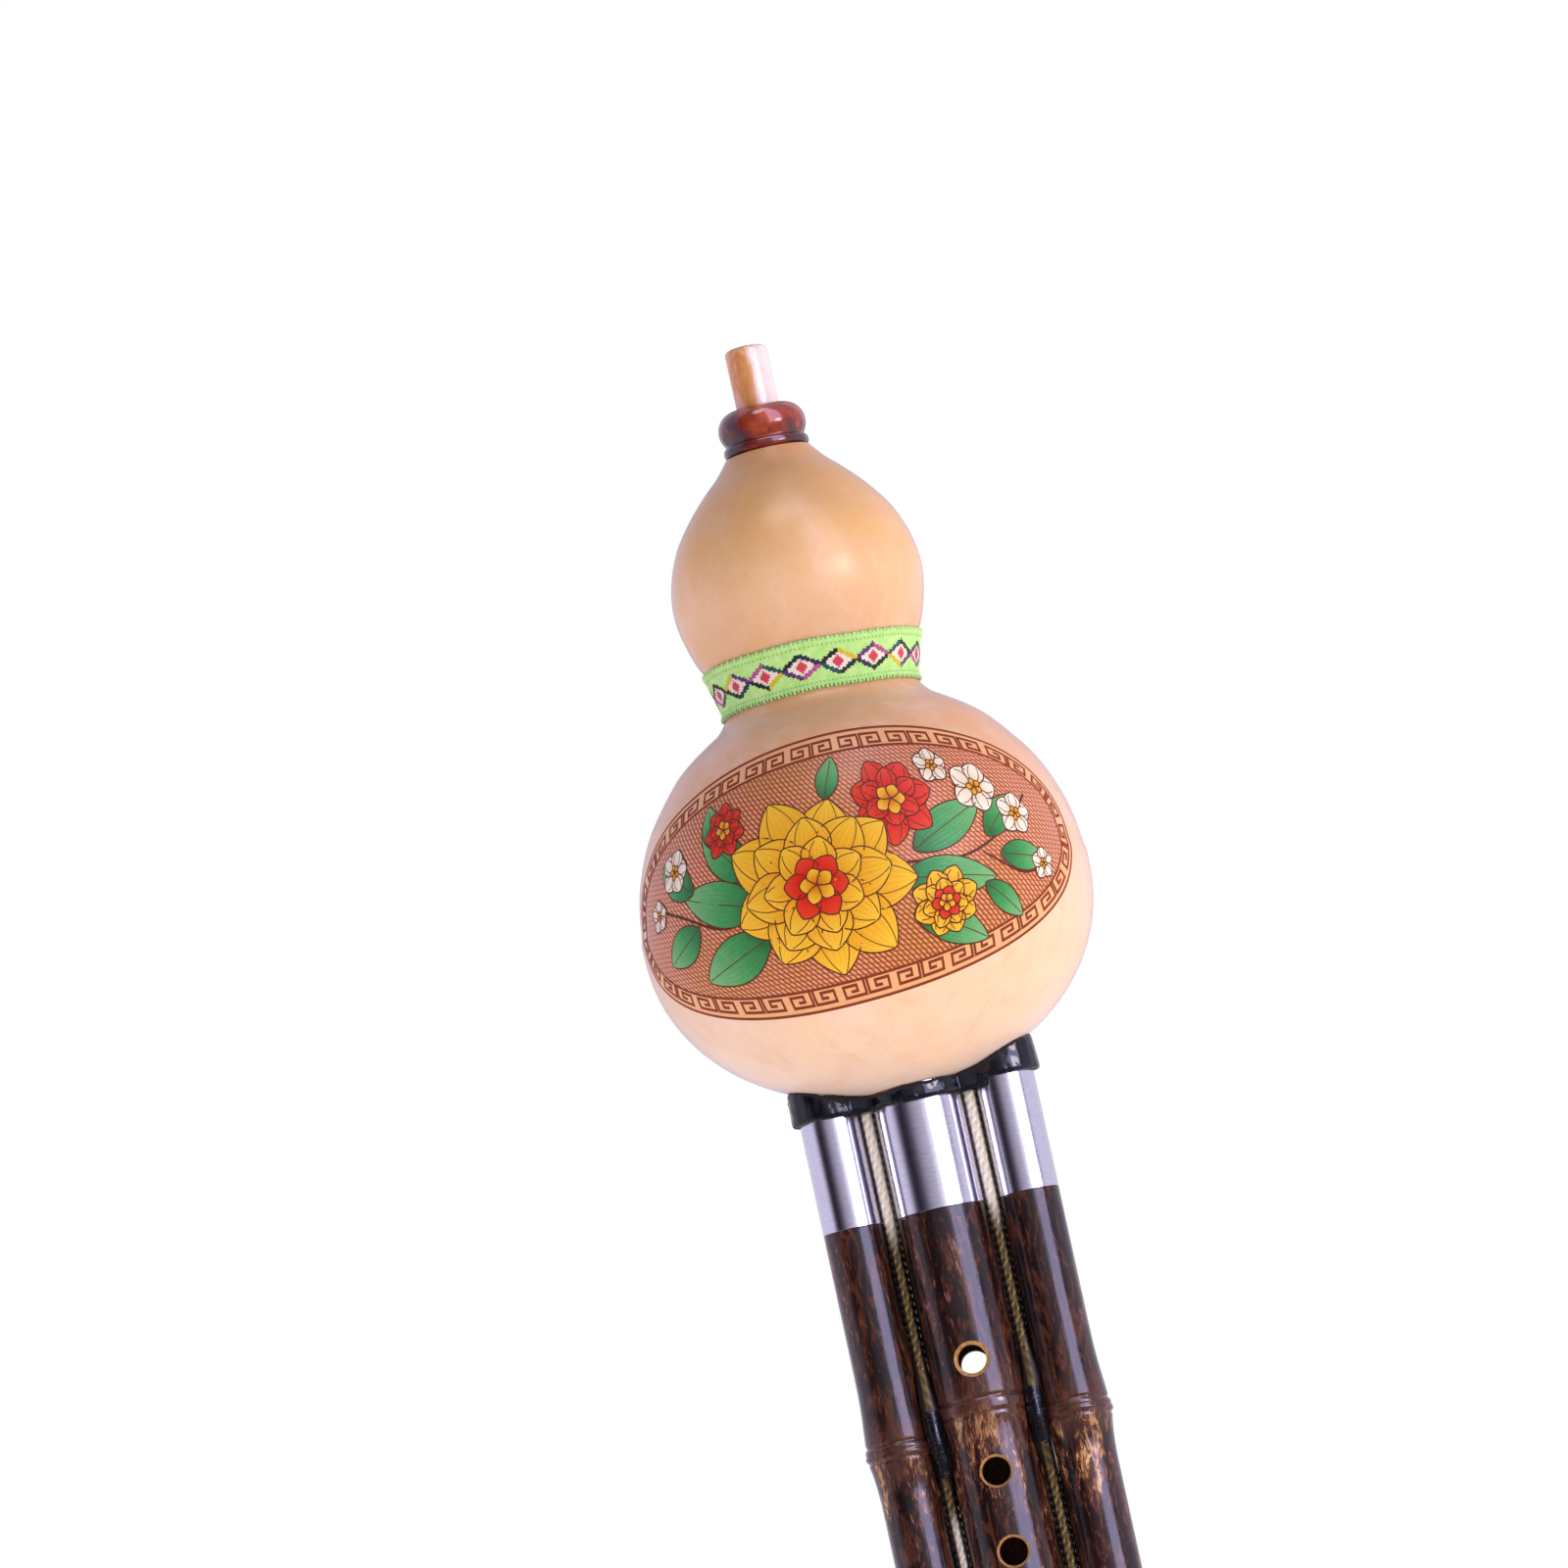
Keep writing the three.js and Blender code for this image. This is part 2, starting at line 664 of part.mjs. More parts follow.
function grooveGroup() {
  const group = new THREE.Group();
  const [, ...drones] = pipes;
  for (const drone of drones) {
    const [, nodeHeight] = nodeHeights(drone);
    const endHeight = -drone.length + cordEndMargin + endWaxLength / 2;
    group.add(
      piece(`groove_cord_${drone.name}`, grooveCord(drone, cordRadius), "gilt"),
      piece(`node_wax_${drone.name}`, grooveWax(drone, nodeHeight, nodeWaxLength), "wax"),
      piece(`end_wax_${drone.name}`, grooveWax(drone, endHeight, endWaxLength), "wax"),
    );
  }
  return group;
}

const hulusi = new THREE.Group();
hulusi.add(
  gourdGroup(),
  ...pipes.map(pipeGroup),
  grooveGroup(),
  piece("root_wax", rootWax(), "wax"),
);

export default hulusi;
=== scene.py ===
# The looks of a hulusi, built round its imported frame. Metres, +Z up, the front faces -Y.
# Lengths that only the looks need are in millimetres, times MM.

import math
from functools import partialmethod
from types import SimpleNamespace

import bmesh
import bpy
import numpy as np
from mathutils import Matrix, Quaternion, Vector, noise


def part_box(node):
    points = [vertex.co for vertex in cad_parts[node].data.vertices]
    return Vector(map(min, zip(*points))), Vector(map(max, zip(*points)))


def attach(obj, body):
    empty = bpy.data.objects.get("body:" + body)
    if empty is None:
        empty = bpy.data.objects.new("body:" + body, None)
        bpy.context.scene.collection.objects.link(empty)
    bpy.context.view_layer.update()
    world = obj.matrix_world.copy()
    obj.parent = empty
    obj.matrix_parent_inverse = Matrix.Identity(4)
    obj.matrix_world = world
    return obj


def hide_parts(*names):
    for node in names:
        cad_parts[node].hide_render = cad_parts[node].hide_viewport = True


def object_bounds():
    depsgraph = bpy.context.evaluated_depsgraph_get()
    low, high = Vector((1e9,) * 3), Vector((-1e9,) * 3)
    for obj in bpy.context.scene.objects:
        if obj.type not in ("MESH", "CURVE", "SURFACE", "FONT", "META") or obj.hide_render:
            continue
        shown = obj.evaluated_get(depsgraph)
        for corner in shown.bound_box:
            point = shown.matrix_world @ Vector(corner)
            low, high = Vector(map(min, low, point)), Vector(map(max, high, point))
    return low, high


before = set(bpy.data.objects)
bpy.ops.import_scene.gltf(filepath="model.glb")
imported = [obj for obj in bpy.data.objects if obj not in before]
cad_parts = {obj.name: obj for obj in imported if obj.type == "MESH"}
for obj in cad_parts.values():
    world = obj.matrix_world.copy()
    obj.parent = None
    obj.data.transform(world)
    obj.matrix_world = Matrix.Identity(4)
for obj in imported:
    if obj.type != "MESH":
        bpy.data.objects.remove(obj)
cad_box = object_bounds()

MM = 0.001
TURN = 2 * math.pi
PIPES = ("main", "left", "right")

# Camera, fitted to the gourd, the ribbon and the pipes in the photograph
CAMERA_PLACE = Vector((0.070, -2.292, -0.211))
CAMERA_AIM = Vector((-0.0123, 0, 0.0628))
CAMERA_ROLL = math.radians(12.25)
CAMERA_LENS = 270
CAMERA_SENSOR = 36
CAMERA_REACH = 20


def add_object(name, data):
    made = bpy.data.objects.new(name, data)
    bpy.context.scene.collection.objects.link(made)
    return made


def make_camera():
    bpy.context.scene.view_settings.view_transform = "Standard"
    data = bpy.data.cameras.new("camera")
    data.lens = CAMERA_LENS
    data.sensor_width = CAMERA_SENSOR
    data.clip_end = CAMERA_REACH
    camera = add_object("camera", data)
    camera.location = CAMERA_PLACE
    camera.rotation_mode = "QUATERNION"
    level = (CAMERA_AIM - CAMERA_PLACE).to_track_quat("-Z", "Y")
    camera.rotation_quaternion = level @ Quaternion((0, 0, 1), -CAMERA_ROLL)
    bpy.context.scene.camera = camera


# Nodes


def linear(code):
    """The colour that a hex code names, as a node takes it."""
    shares = [int(code[i:i + 2], 16) / 255 for i in (1, 3, 5)]
    return [s / 12.92 if s <= 0.04045 else ((s + 0.055) / 1.055) ** 2.4 for s in shares] + [1]


def plug(tree, item, socket):
    """Gives a socket a Value, a hex colour or a number."""
    if isinstance(item, Value):
        tree.links.new(item.socket, socket)
    else:
        socket.default_value = linear(item) if isinstance(item, str) else item


def add_node(tree, kind, inputs, output=0, **settings):
    """A new node's output. inputs says what goes into each socket, settings are properties."""
    node = tree.nodes.new("ShaderNode" + kind)
    for key, value in settings.items():
        setattr(node, key, value)
    for key, item in inputs.items():
        plug(tree, item, node.inputs[key])
    return Value(tree, node.outputs[output])


def add_rays(tree, *kinds):
    """For each kind of ray, a Value that is 1 where such a ray looks."""
    outputs = tree.nodes.new("ShaderNodeLightPath").outputs
    return [Value(tree, outputs[f"Is {kind} Ray"]) for kind in kinds]


class Value:
    """What a node gives out. Sums on it add Math nodes, so that a pattern reads as a formula."""

    def __init__(self, tree, socket):
        self.tree = tree
        self.socket = socket

    def apply(self, operation, *others):
        return add_node(self.tree, "Math", dict(enumerate((self, *others))), operation=operation)

    __add__ = partialmethod(apply, "ADD")
    __sub__ = partialmethod(apply, "SUBTRACT")
    __mul__ = partialmethod(apply, "MULTIPLY")
    __truediv__ = partialmethod(apply, "DIVIDE")
    __pow__ = partialmethod(apply, "POWER")
    __abs__ = partialmethod(apply, "ABSOLUTE")
    below = partialmethod(apply, "LESS_THAN")
    above = partialmethod(apply, "GREATER_THAN")
    either = partialmethod(apply, "MAXIMUM")
    both = partialmethod(apply, "MINIMUM")
    part = partialmethod(apply, "FRACT")
    whole = partialmethod(apply, "FLOOR")
    sine = partialmethod(apply, "SINE")
    angle = partialmethod(apply, "ARCTAN2")

    def axes(self):
        """The x, y and z of a vector."""
        node = add_node(self.tree, "SeparateXYZ", {0: self}).socket.node
        return [Value(self.tree, output) for output in node.outputs]

    def between(self, low, high):
        """0 at low, 1 at high, with a soft step from one to the other."""
        inputs = {"Value": self, "From Min": low, "From Max": high}
        return add_node(self.tree, "MapRange", inputs, interpolation_type="SMOOTHSTEP")

    def ramp(self, *stops, steps=False):
        """The colour at this value, from (place, hex colour) stops."""
        made = add_node(self.tree, "ValToRGB", {0: self}, "Color")
        ramp = made.socket.node.color_ramp
        ramp.interpolation = "CONSTANT" if steps else "LINEAR"
        while len(ramp.elements) < len(stops):
            ramp.elements.new(1)
        for element, (place, code) in zip(ramp.elements, stops):
            element.position = place
            element.color = linear(code)
        return made

    def mix(self, first, second, how="MIX"):
        """The first colour where this is 0, the second where it is 1."""
        return add_node(self.tree, "Mix", {0: self, 6: first, 7: second}, 2, data_type="RGBA",
                        blend_type=how)


def layered(colour, *layers):
    """A colour with layers over it, each a mask and a colour."""
    for mask, code in layers:
        colour = mask.mix(colour, code)
    return colour


class Finish:
    """A material, with short names for the nodes that it uses."""

    def __init__(self, name, **settings):
        self.material = bpy.data.materials.new(name)
        self.material.use_nodes = True
        self.tree = self.material.node_tree
        self.shader = self.tree.nodes["Principled BSDF"]
        for key, value in settings.items():
            self.set(key.replace("_", " "), value)

    def set(self, name, value):
        plug(self.tree, value, self.shader.inputs[name])

    def scaled(self, vector, *scale):
        return add_node(self.tree, "Mapping", {"Vector": vector, "Scale": scale})

    def place(self, x=1, y=1, z=1):
        """Where a point is on its piece, in millimetres, each axis scaled."""
        return self.scaled(add_node(self.tree, "TexCoord", {}, "Object"), x / MM, y / MM, z / MM)

    def surface(self, scale=1):
        """Where a point is along and across its surface, in millimetres, scaled."""
        vector = add_node(self.tree, "UVMap", {}, "UV", uv_map="surface")
        return self.scaled(vector, scale, scale, 1)

    def noise(self, at, scale, detail=3, roughness=0.5, distortion=0):
        """Noise at a vector, or at the place, stretched along each axis."""
        return add_node(self.tree, "TexNoise", {
            "Vector": at if isinstance(at, Value) else self.place(*at), "Scale": scale,
            "Detail": detail, "Roughness": roughness, "Distortion": distortion}, "Fac")

    def done(self, colour, relief, depth, strength=1):
        """The material, in a colour and raised by depth millimetres where relief is 1."""
        self.set("Base Color", colour)
        normal = add_node(self.tree, "Bump", {
            "Distance": depth * MM, "Strength": strength, "Height": relief})
        self.set("Normal", normal)
        self.set("Coat Normal", normal)
        return self.material


def grained(name, stretch, grain, colours, depth, **settings):
    """A material of one grain, stretched along each axis, with a ramp of colours and a relief."""
    finish = Finish(name, **settings)
    grain = finish.noise(stretch, *grain)
    return finish.done(grain.ramp(*colours), grain, depth)


# Light and background

TENT = "#e2dcf5"  # the studio's pale walls, as gloss shows them
GAP = "#29232f"  # the dark gap between its lamps, where the camera stands
STRIP = "#d3cfff"  # a tall soft lamp to the right
STRIP_FROM = 23  # degrees to the right of the camera
STRIP_TO = 59
STRIP_LEVEL = 7  # against white
WORLD_LIGHT = "#98959f"  # the tent's even light
FLOOR_LIGHT = "#fff0ea"
FLOOR_LEVEL = 1.25
FLOOR_SEEN = 0.6  # how much of the floor's white is its own glow, to the camera
FLOOR_REACH = 4
FLOOR_SIDES = 128
STRIP_SOFTNESS = 3  # degrees

# What gloss shows all round: [degrees to the right of the camera, colour]
STUDIO = [
    (-180, "#27222e"), (-168, "#4c4757"), (-160, "#f6f3ff"), (-146, TENT), (-76, TENT),
    (-67, "#b9b3c9"), (-59, "#5a5466"), (-51, GAP), (-42, GAP), (-30, "#595363"),
    (-17, "#9d97a8"), (-5, "#b8b3c8"), (7, "#cbc7d8"), (14, "#fbf8ff"), (STRIP_FROM, STRIP),
    (STRIP_TO, STRIP), (64, "#8d86a0"), (76, TENT), (146, TENT), (156, "#f6f3ff"),
    (170, "#8d889a"), (180, "#27222e"),
]

# What gloss shows of the floor, with bands behind the object so that metal reads from there too
FLOOR_STUDIO = [
    (-180, "#37323f"), (-167, "#6d6776"), (-160, "#ffffff"), (-142, "#e9e6f0"), (-132, "#a8a2b3"),
    (-118, "#ffffff"), (-75, "#ffffff"), (-50, "#3d3846"), (50, "#3d3846"), (75, "#ffffff"),
    (118, "#ffffff"), (130, "#8f899b"), (142, "#e9e6f0"), (158, "#ffffff"), (168, "#817b8b"),
    (180, "#37323f"),
]


def studio_colour(x, y, stops):
    """The colour of a ring of stops at a direction, and the direction as a share of a turn."""
    turn = x.angle(y * -1) / TURN + 0.5
    return turn.ramp(*[(degrees / 360 + 0.5, code) for degrees, code in stops]), turn


def make_world():
    """White to the camera. Gloss shows a studio of pale walls with a lamp and a dark gap."""
    world = bpy.data.worlds.new("studio")
    bpy.context.scene.world = world
    world.use_nodes = True
    tree = world.node_tree
    tree.nodes.clear()
    x, y, _ = add_node(tree, "TexCoord", {}, "Generated").axes()
    studio, turn = studio_colour(x, y, STUDIO)
    soft = STRIP_SOFTNESS / 360
    start, stop = STRIP_FROM / 360 + 0.5, STRIP_TO / 360 + 0.5
    strip = turn.between(start - soft, start + soft) * turn.between(stop + soft, stop - soft)
    camera, through, glossy = add_rays(tree, "Camera", "Transmission", "Glossy")
    background = add_node(tree, "Background", {
        "Color": camera.either(through).mix(glossy.mix(WORLD_LIGHT, studio), "#ffffff"),
        "Strength": glossy * strip * (STRIP_LEVEL - 1) + 1})
    output = tree.nodes.new("ShaderNodeOutputWorld")
    tree.links.new(background.socket, output.inputs["Surface"])


# Lamps: [place, size in metres, watts, colour]. Gloss doesn't show them.
LAMPS = [
    ((1.25, -1.25, 0.0), 0.9, 16, "#fff6f0"),
    ((-1.3, -1.2, 0.1), 0.8, 2.2, "#f2ecff"),
    ((0.3, -0.4, 1.5), 0.8, 1.5, "#ffffff"),
    ((1.7, 0.7, 0.4), 0.8, 17, "#ffeef4"),
    ((-1.7, 0.7, 0.4), 0.8, 9, "#d9d2ff"),
]

# Two more that only gloss shows, for the soft spots on the small bulb
SPOTS = [
    ((-0.04, -0.62, 1.5), 0.6, 5.5, "#ffeef0"),
    ((0.383, -0.353, 0.143), 0.15, 0.7, "#fff0f2"),
]


def make_lamps():
    aim = sum(cad_box, Vector()) / 2
    for number, (place, size, power, code) in enumerate(LAMPS + SPOTS):
        data = bpy.data.lights.new(f"lamp_{number}", "AREA")
        data.shape = "DISK"
        data.size = size
        data.energy = power
        data.color = linear(code)[:3]
        lamp = add_object(data.name, data)
        lamp.visible_glossy = number >= len(LAMPS)
        lamp.visible_diffuse = number < len(LAMPS)
        lamp.visible_camera = False
        lamp.location = place
        lamp.rotation_euler = (aim - lamp.location).to_track_quat("-Z", "Y").to_euler()


def make_floor():
    """A pale floor: most of what the camera sees of it is white, and the rest keeps the shadow."""
    corners = [(FLOOR_REACH * math.cos(a), FLOOR_REACH * math.sin(a), cad_box[0].z)
               for a in np.arange(FLOOR_SIDES) / FLOOR_SIDES * TURN]
    mesh = bpy.data.meshes.new("floor")
    mesh.from_pydata(corners, [], [tuple(range(FLOOR_SIDES))])
    finish = Finish("floor", Roughness=0.9)
    finish.set("Base Color", finish.noise((), 0.02).ramp((0, "#f2f2f4"), (1, "#f8f8f8")))
    tree = finish.tree
    camera, glossy, through, lit = add_rays(tree, "Camera", "Glossy", "Transmission", "Diffuse")
    x, y, _ = finish.place().axes()
    shown = glossy.mix("#ffffff", studio_colour(x, y, FLOOR_STUDIO)[0])
    glow = add_node(tree, "Emission", {
        "Color": lit.mix(shown, FLOOR_LIGHT), "Strength": lit * (FLOOR_LEVEL - 1) + 1})
    share = (camera.either(glossy).either(through) * FLOOR_SEEN).either(lit)
    plain = Value(tree, finish.shader.outputs[0])
    both = add_node(tree, "MixShader", {0: share, 1: plain, 2: glow})
    tree.links.new(both.socket, tree.nodes["Material Output"].inputs["Surface"])
    mesh.materials.append(finish.material)
    add_object("floor", mesh)


# Meshes


def unit(vectors):
    return vectors / np.linalg.norm(vectors, axis=1)[:, None]


def travel_along(line):
    """How far along a line each of its points is."""
    return np.concatenate([[0], np.cumsum(np.linalg.norm(np.diff(line, axis=0), axis=1))])


def at_travel(travel, travels, line):
    """The points of a line at these travels, given the travels of its own points."""
    return np.stack([np.interp(travel, travels, column) for column in line.T], -1)


def crossed(across, along):
    """Rows by columns of [across, along], for a surface map."""
    return np.stack(np.broadcast_arrays(across[None, :], along[:, None]), 2)


def tilted(across, up, angle):
    """Numbers or Values turned anticlockwise by an angle."""
    cosine, sine = math.cos(angle), math.sin(angle)
    return across * cosine - up * sine, up * cosine + across * sine


def middle_of(node):
    return sum(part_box(node), Vector()) / 2


def grouped(items, gap, key=float):
    """Items in order, parted where two neighbours lie further apart than gap."""
    groups = []
    for item in items:
        if not groups or abs(key(item) - key(groups[-1][-1])) >= gap:
            groups.append([])
        groups[-1].append(item)
    return groups


def add_piece(name, points, faces, material, corners, smooth=True):
    """A mesh piece. corners gives each face corner's place on the surface map."""
    mesh = bpy.data.meshes.new(name)
    mesh.from_pydata([tuple(point) for point in points], [], [tuple(face) for face in faces])
    layer = mesh.uv_layers.new(name="surface")
    layer.data.foreach_set("uv", np.asarray(corners, np.float32).ravel())
    mesh.materials.append(material)
    mesh.polygons.foreach_set("use_smooth", [smooth] * len(mesh.polygons))
    mesh.update()
    return add_object(name, mesh)


def skin(points, places, wrap_rings=False, caps=True):
    """Faces over closed rings of points, listed upwards and anticlockwise from above.

    points is rings by columns by 3. places is rings by columns plus one by 2, the surface map.
    """
    rings, columns = points.shape[:2]
    faces, corners = [], []
    for i in range(rings if wrap_rings else rings - 1):
        above = (i + 1) % rings
        for j in range(columns):
            beside = (j + 1) % columns
            faces.append((i * columns + j, i * columns + beside,
                          above * columns + beside, above * columns + j))
            corners += [places[i, j], places[i, j + 1], places[above, j + 1], places[above, j]]
    if caps and not wrap_rings:
        faces.append(tuple(range(columns))[::-1])
        corners += [places[0, j] for j in range(columns)][::-1]
        faces.append(tuple((rings - 1) * columns + j for j in range(columns)))
        corners += [places[-1, j] for j in range(columns)]
    return points.reshape(-1, 3), faces, corners


def turned(name, profile, columns, material, centre=(0, 0), caps=False, shape=None):
    """A piece turned about an upright axis.

    profile lists [radius, height] upwards on the outside, and closes on itself unless it has caps.
    shape(azimuth, height) adds to the radius.
    """
    profile = np.array(profile, float)
    azimuths = np.arange(columns) * TURN / columns
    radii = np.repeat(profile[:, :1], columns, axis=1)
    heights = np.repeat(profile[:, 1:], columns, axis=1)
    if shape:
        radii = radii + shape(azimuths[None, :], heights)
    points = np.stack([
        centre[0] + radii * np.cos(azimuths), centre[1] + radii * np.sin(azimuths), heights], 2)
    around = np.arange(columns + 1) / columns * TURN * profile[:, 0].max()
    places = crossed(around, travel_along(profile)) / MM
    flat, faces, corners = skin(points, places, not caps, caps)
    return add_piece(name, flat, faces, material, corners)


def outline(node, azimuth):
    """[radius, height] up the outside of a turned CAD node, read on one side of its axis."""
    mesh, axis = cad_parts[node].data, middle_of(node)
    toward = Vector((math.cos(azimuth), math.sin(azimuth)))
    found = {}
    for polygon in mesh.polygons:
        offset = (polygon.center - axis).xy.normalized()
        if offset.dot(toward) < 0.98 or polygon.normal.xy.dot(offset) < 0.02:
            continue
        for index in polygon.vertices:
            corner = mesh.vertices[index].co
            found[round(corner.z, 6)] = (corner.xy - axis.xy).length
    return np.array([(radius, height) for height, radius in sorted(found.items())])


def smooth_line(points, steps):
    """More points along a line, on a Catmull-Rom curve through those given."""
    points = np.asarray(points, float)
    padded = np.vstack([2 * points[0] - points[1], points, 2 * points[-1] - points[-2]])
    made = []
    for a, b, c, d in zip(padded, padded[1:], padded[2:], padded[3:]):
        for t in np.arange(steps) / steps:
            made.append((2 * b + (c - a) * t + (2 * a - 5 * b + 4 * c - d) * t ** 2
                         + (3 * b - a - 3 * c + d) * t ** 3) / 2)
    return np.array([*made, points[-1]])


def finish_edges(piece, sharp=35, weld=1e-7):
    """Joins corners that coincide, points all faces outwards and keeps sharp edges sharp."""
    made = bmesh.new()
    made.from_mesh(piece.data)
    bmesh.ops.remove_doubles(made, verts=made.verts, dist=weld)
    loose = [edge for edge in made.edges if not edge.link_faces]
    bmesh.ops.delete(made, geom=loose, context="EDGES")
    bmesh.ops.recalc_face_normals(made, faces=made.faces)
    limit = math.radians(sharp)
    for edge in made.edges:
        edge.smooth = len(edge.link_faces) == 2 and edge.calc_face_angle(0) < limit
    made.to_mesh(piece.data)
    made.free()
    piece.data.update()


def apply_modifiers(piece):
    graph = bpy.context.evaluated_depsgraph_get()
    mesh = bpy.data.meshes.new_from_object(piece.evaluated_get(graph))
    piece.modifiers.clear()
    piece.data = mesh


def carve(piece, cutters):
    """Cuts closed pieces out of a closed piece, and removes them."""
    for cutter in cutters:
        modifier = piece.modifiers.new("cut", "BOOLEAN")
        modifier.operation = "DIFFERENCE"
        modifier.solver = "MANIFOLD"
        modifier.object = cutter
    apply_modifiers(piece)
    for cutter in cutters:
        bpy.data.objects.remove(cutter)


def ride(piece, slot, *nodes, body="instrument"):
    """Puts a finished piece on its body and hides the nodes it stands for. slot is not used."""
    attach(piece, body)
    if nodes:
        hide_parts(*nodes)


def turned_on(node, name, profile, material, slot, columns, sharp, body="instrument"):
    """A turned piece on a CAD node's axis, which stands for that node."""
    piece = turned(name, profile, columns, material, middle_of(node).xy)
    finish_edges(piece, sharp)
    ride(piece, slot, node, body=body)


# Gourd

GOURD_WALL = 3.5 * MM
BASE_SAG = 0.7 * MM  # how far the gourd's base dips inside the ring of pipes
SKIN_RIPPLE = 0.10 * MM
MOUTH_RADIUS = 6.5 * MM
INNER_MARGIN = 9 * MM  # the hollow ends this far below the neck's rim
ROOT_GAP = 0.3 * MM
GOURD_COLUMNS = 224
ROOT_COLUMNS = 48

gourd_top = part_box("gourd_shell")[1].z
gourd_axis = middle_of("gourd_shell")
gourd_line = outline("gourd_shell", -math.pi / 2)
gourd_line = np.vstack([
    [0, gourd_line[0, 1] - BASE_SAG], [gourd_line[0, 0] / 2, gourd_line[0, 1] - BASE_SAG * 0.75],
    gourd_line])
gourd_profile = smooth_line(gourd_line, 5)
bulb_radius = gourd_line[:, 0].max()


def ripple(azimuth, height):
    """The gourd's own slight unevenness."""
    return SKIN_RIPPLE * (np.sin(2 * azimuth + 0.7) * np.sin(height * 90)
                          + 0.6 * np.sin(3 * azimuth - height * 55))


def gourd_radius(azimuth, height):
    smooth = np.interp(height, gourd_profile[:, 1], gourd_profile[:, 0])
    return smooth + ripple(azimuth, height)


def on_gourd(azimuth, height, lift=0):
    """Points on the gourd's skin, or a little way out from it."""
    step = 0.5 * MM
    above, below = (gourd_radius(azimuth, height + side * step) for side in (1, -1))
    slope = (above - below) / (2 * step)
    out = lift / np.sqrt(1 + slope ** 2)
    radius = gourd_radius(azimuth, height) + out
    return np.stack(np.broadcast_arrays(
        gourd_axis.x + radius * np.cos(azimuth), gourd_axis.y + radius * np.sin(azimuth),
        height - slope * out), -1)


# The picture on the gourd: an oval, its places in millimetres across and up from its middle
OVAL_HALF_WIDTH = 58.5
OVAL_HALF_HEIGHT = 26.6
OVAL_POWER = 2.15
OVAL_HEIGHT = 40.2 * MM
OVAL_TURN = math.radians(-4)  # its middle, round the gourd from the front
OVAL_TILT = math.radians(2)
BORDER_WIDTH = 4.6


def in_picture(places, lift):
    """Points on the gourd for places in the picture, lifted off the skin by millimetres."""
    across, up = tilted(*np.moveaxis(np.asarray(places, float), -1, 0), OVAL_TILT)
    azimuth = -math.pi / 2 + OVAL_TURN + across * MM / bulb_radius
    return on_gourd(azimuth, OVAL_HEIGHT + up * MM, lift * MM)


def gourd_finish():
    finish = Finish("gourd_skin", Roughness=0.5, Specular_IOR_Level=0.3, Coat_Weight=0.5,
                    Coat_Roughness=0.27, Sheen_Weight=1, Sheen_Roughness=0.28,
                    Sheen_Tint=(0.8, 0.8, 1, 1))
    place = finish.place()
    x, y, z = place.axes()
    height = z / (gourd_top / MM)
    cloud = finish.noise(place, 0.035, 4, 0.55, 0.6)
    fine = finish.noise(place, 0.9, 3, 0.6)
    streak = finish.noise((1, 1, 0.25), 0.11, 4, 0.6, 0.8)
    # The skin by height is partly the gourd's own tone. It is partly painted shade on the neck and
    # on the upward-facing shoulder of the large bulb, and painted light on the small bulb's middle
    # and at the bottom.
    skin_tone_and_shade = height.ramp(
        (0.0, "#f0d5bd"), (0.25, "#efccad"), (0.45, "#e6b78f"), (0.56, "#d9a67a"),
        (0.64, "#dcac80"), (0.76, "#e8c09c"), (0.84, "#e4b67f"), (0.92, "#d9a667"),
        (1.0, "#c8945e"))
    skin_tone_and_shade = (cloud.between(0.4, 0.75) * 0.5).mix(skin_tone_and_shade, "#dba05e", "SOFT_LIGHT")
    pale = finish.noise((1, 1, 0.6), 0.12, 4, 0.6, 0.4)
    skin_tone_and_shade = layered(
        skin_tone_and_shade, (streak.between(0.45, 0.75) * 0.3, "#dfa87a"),
        (pale.between(0.42, 0.8) * height.between(1.05, 0.75) * 0.4, "#f6d8c6"),
        (fine.between(0.5, 0.75) * 0.10, "#bd824e"))
    azimuth = (x - gourd_axis.x / MM).angle((y - gourd_axis.y / MM) * -1) - OVAL_TURN
    across, up = tilted(azimuth * (bulb_radius / MM), z - OVAL_HEIGHT / MM, -OVAL_TILT)

    def inside(margin):
        wide = abs(across) / (OVAL_HALF_WIDTH - margin)
        tall = abs(up) / (OVAL_HALF_HEIGHT - margin)
        return (wide ** OVAL_POWER + tall ** OVAL_POWER).below(1)

    def lines(direction, pitch, share):
        wobble = (finish.noise(place, 0.5, 2) - 0.5) * 0.25
        turn = across * math.cos(direction) + up * math.sin(direction)
        return (abs((turn / pitch + wobble).part() - 0.5) * 2).between(share + 0.18, share - 0.18)

    hatch = lines(math.radians(38), 0.84, 0.46).either(lines(math.radians(82), 0.95, 0.34) * 0.7)
    ground = cloud.ramp((0.3, "#f2b189"), (0.5, "#ea9f69"), (0.7, "#e2984e"))
    burnt = cloud.ramp((0.3, "#9a3f26"), (0.5, "#913c1c"), (0.7, "#8b4212"))
    band = fine.mix("#f0b587", "#e4a667")
    middle = inside(BORDER_WIDTH)
    colour = layered(skin_tone_and_shade, (inside(0), band), (middle, hatch.mix(ground, burnt)))
    return finish.done(colour, fine * 0.25 + cloud * 0.5 - hatch * middle * 0.5, 0.06)


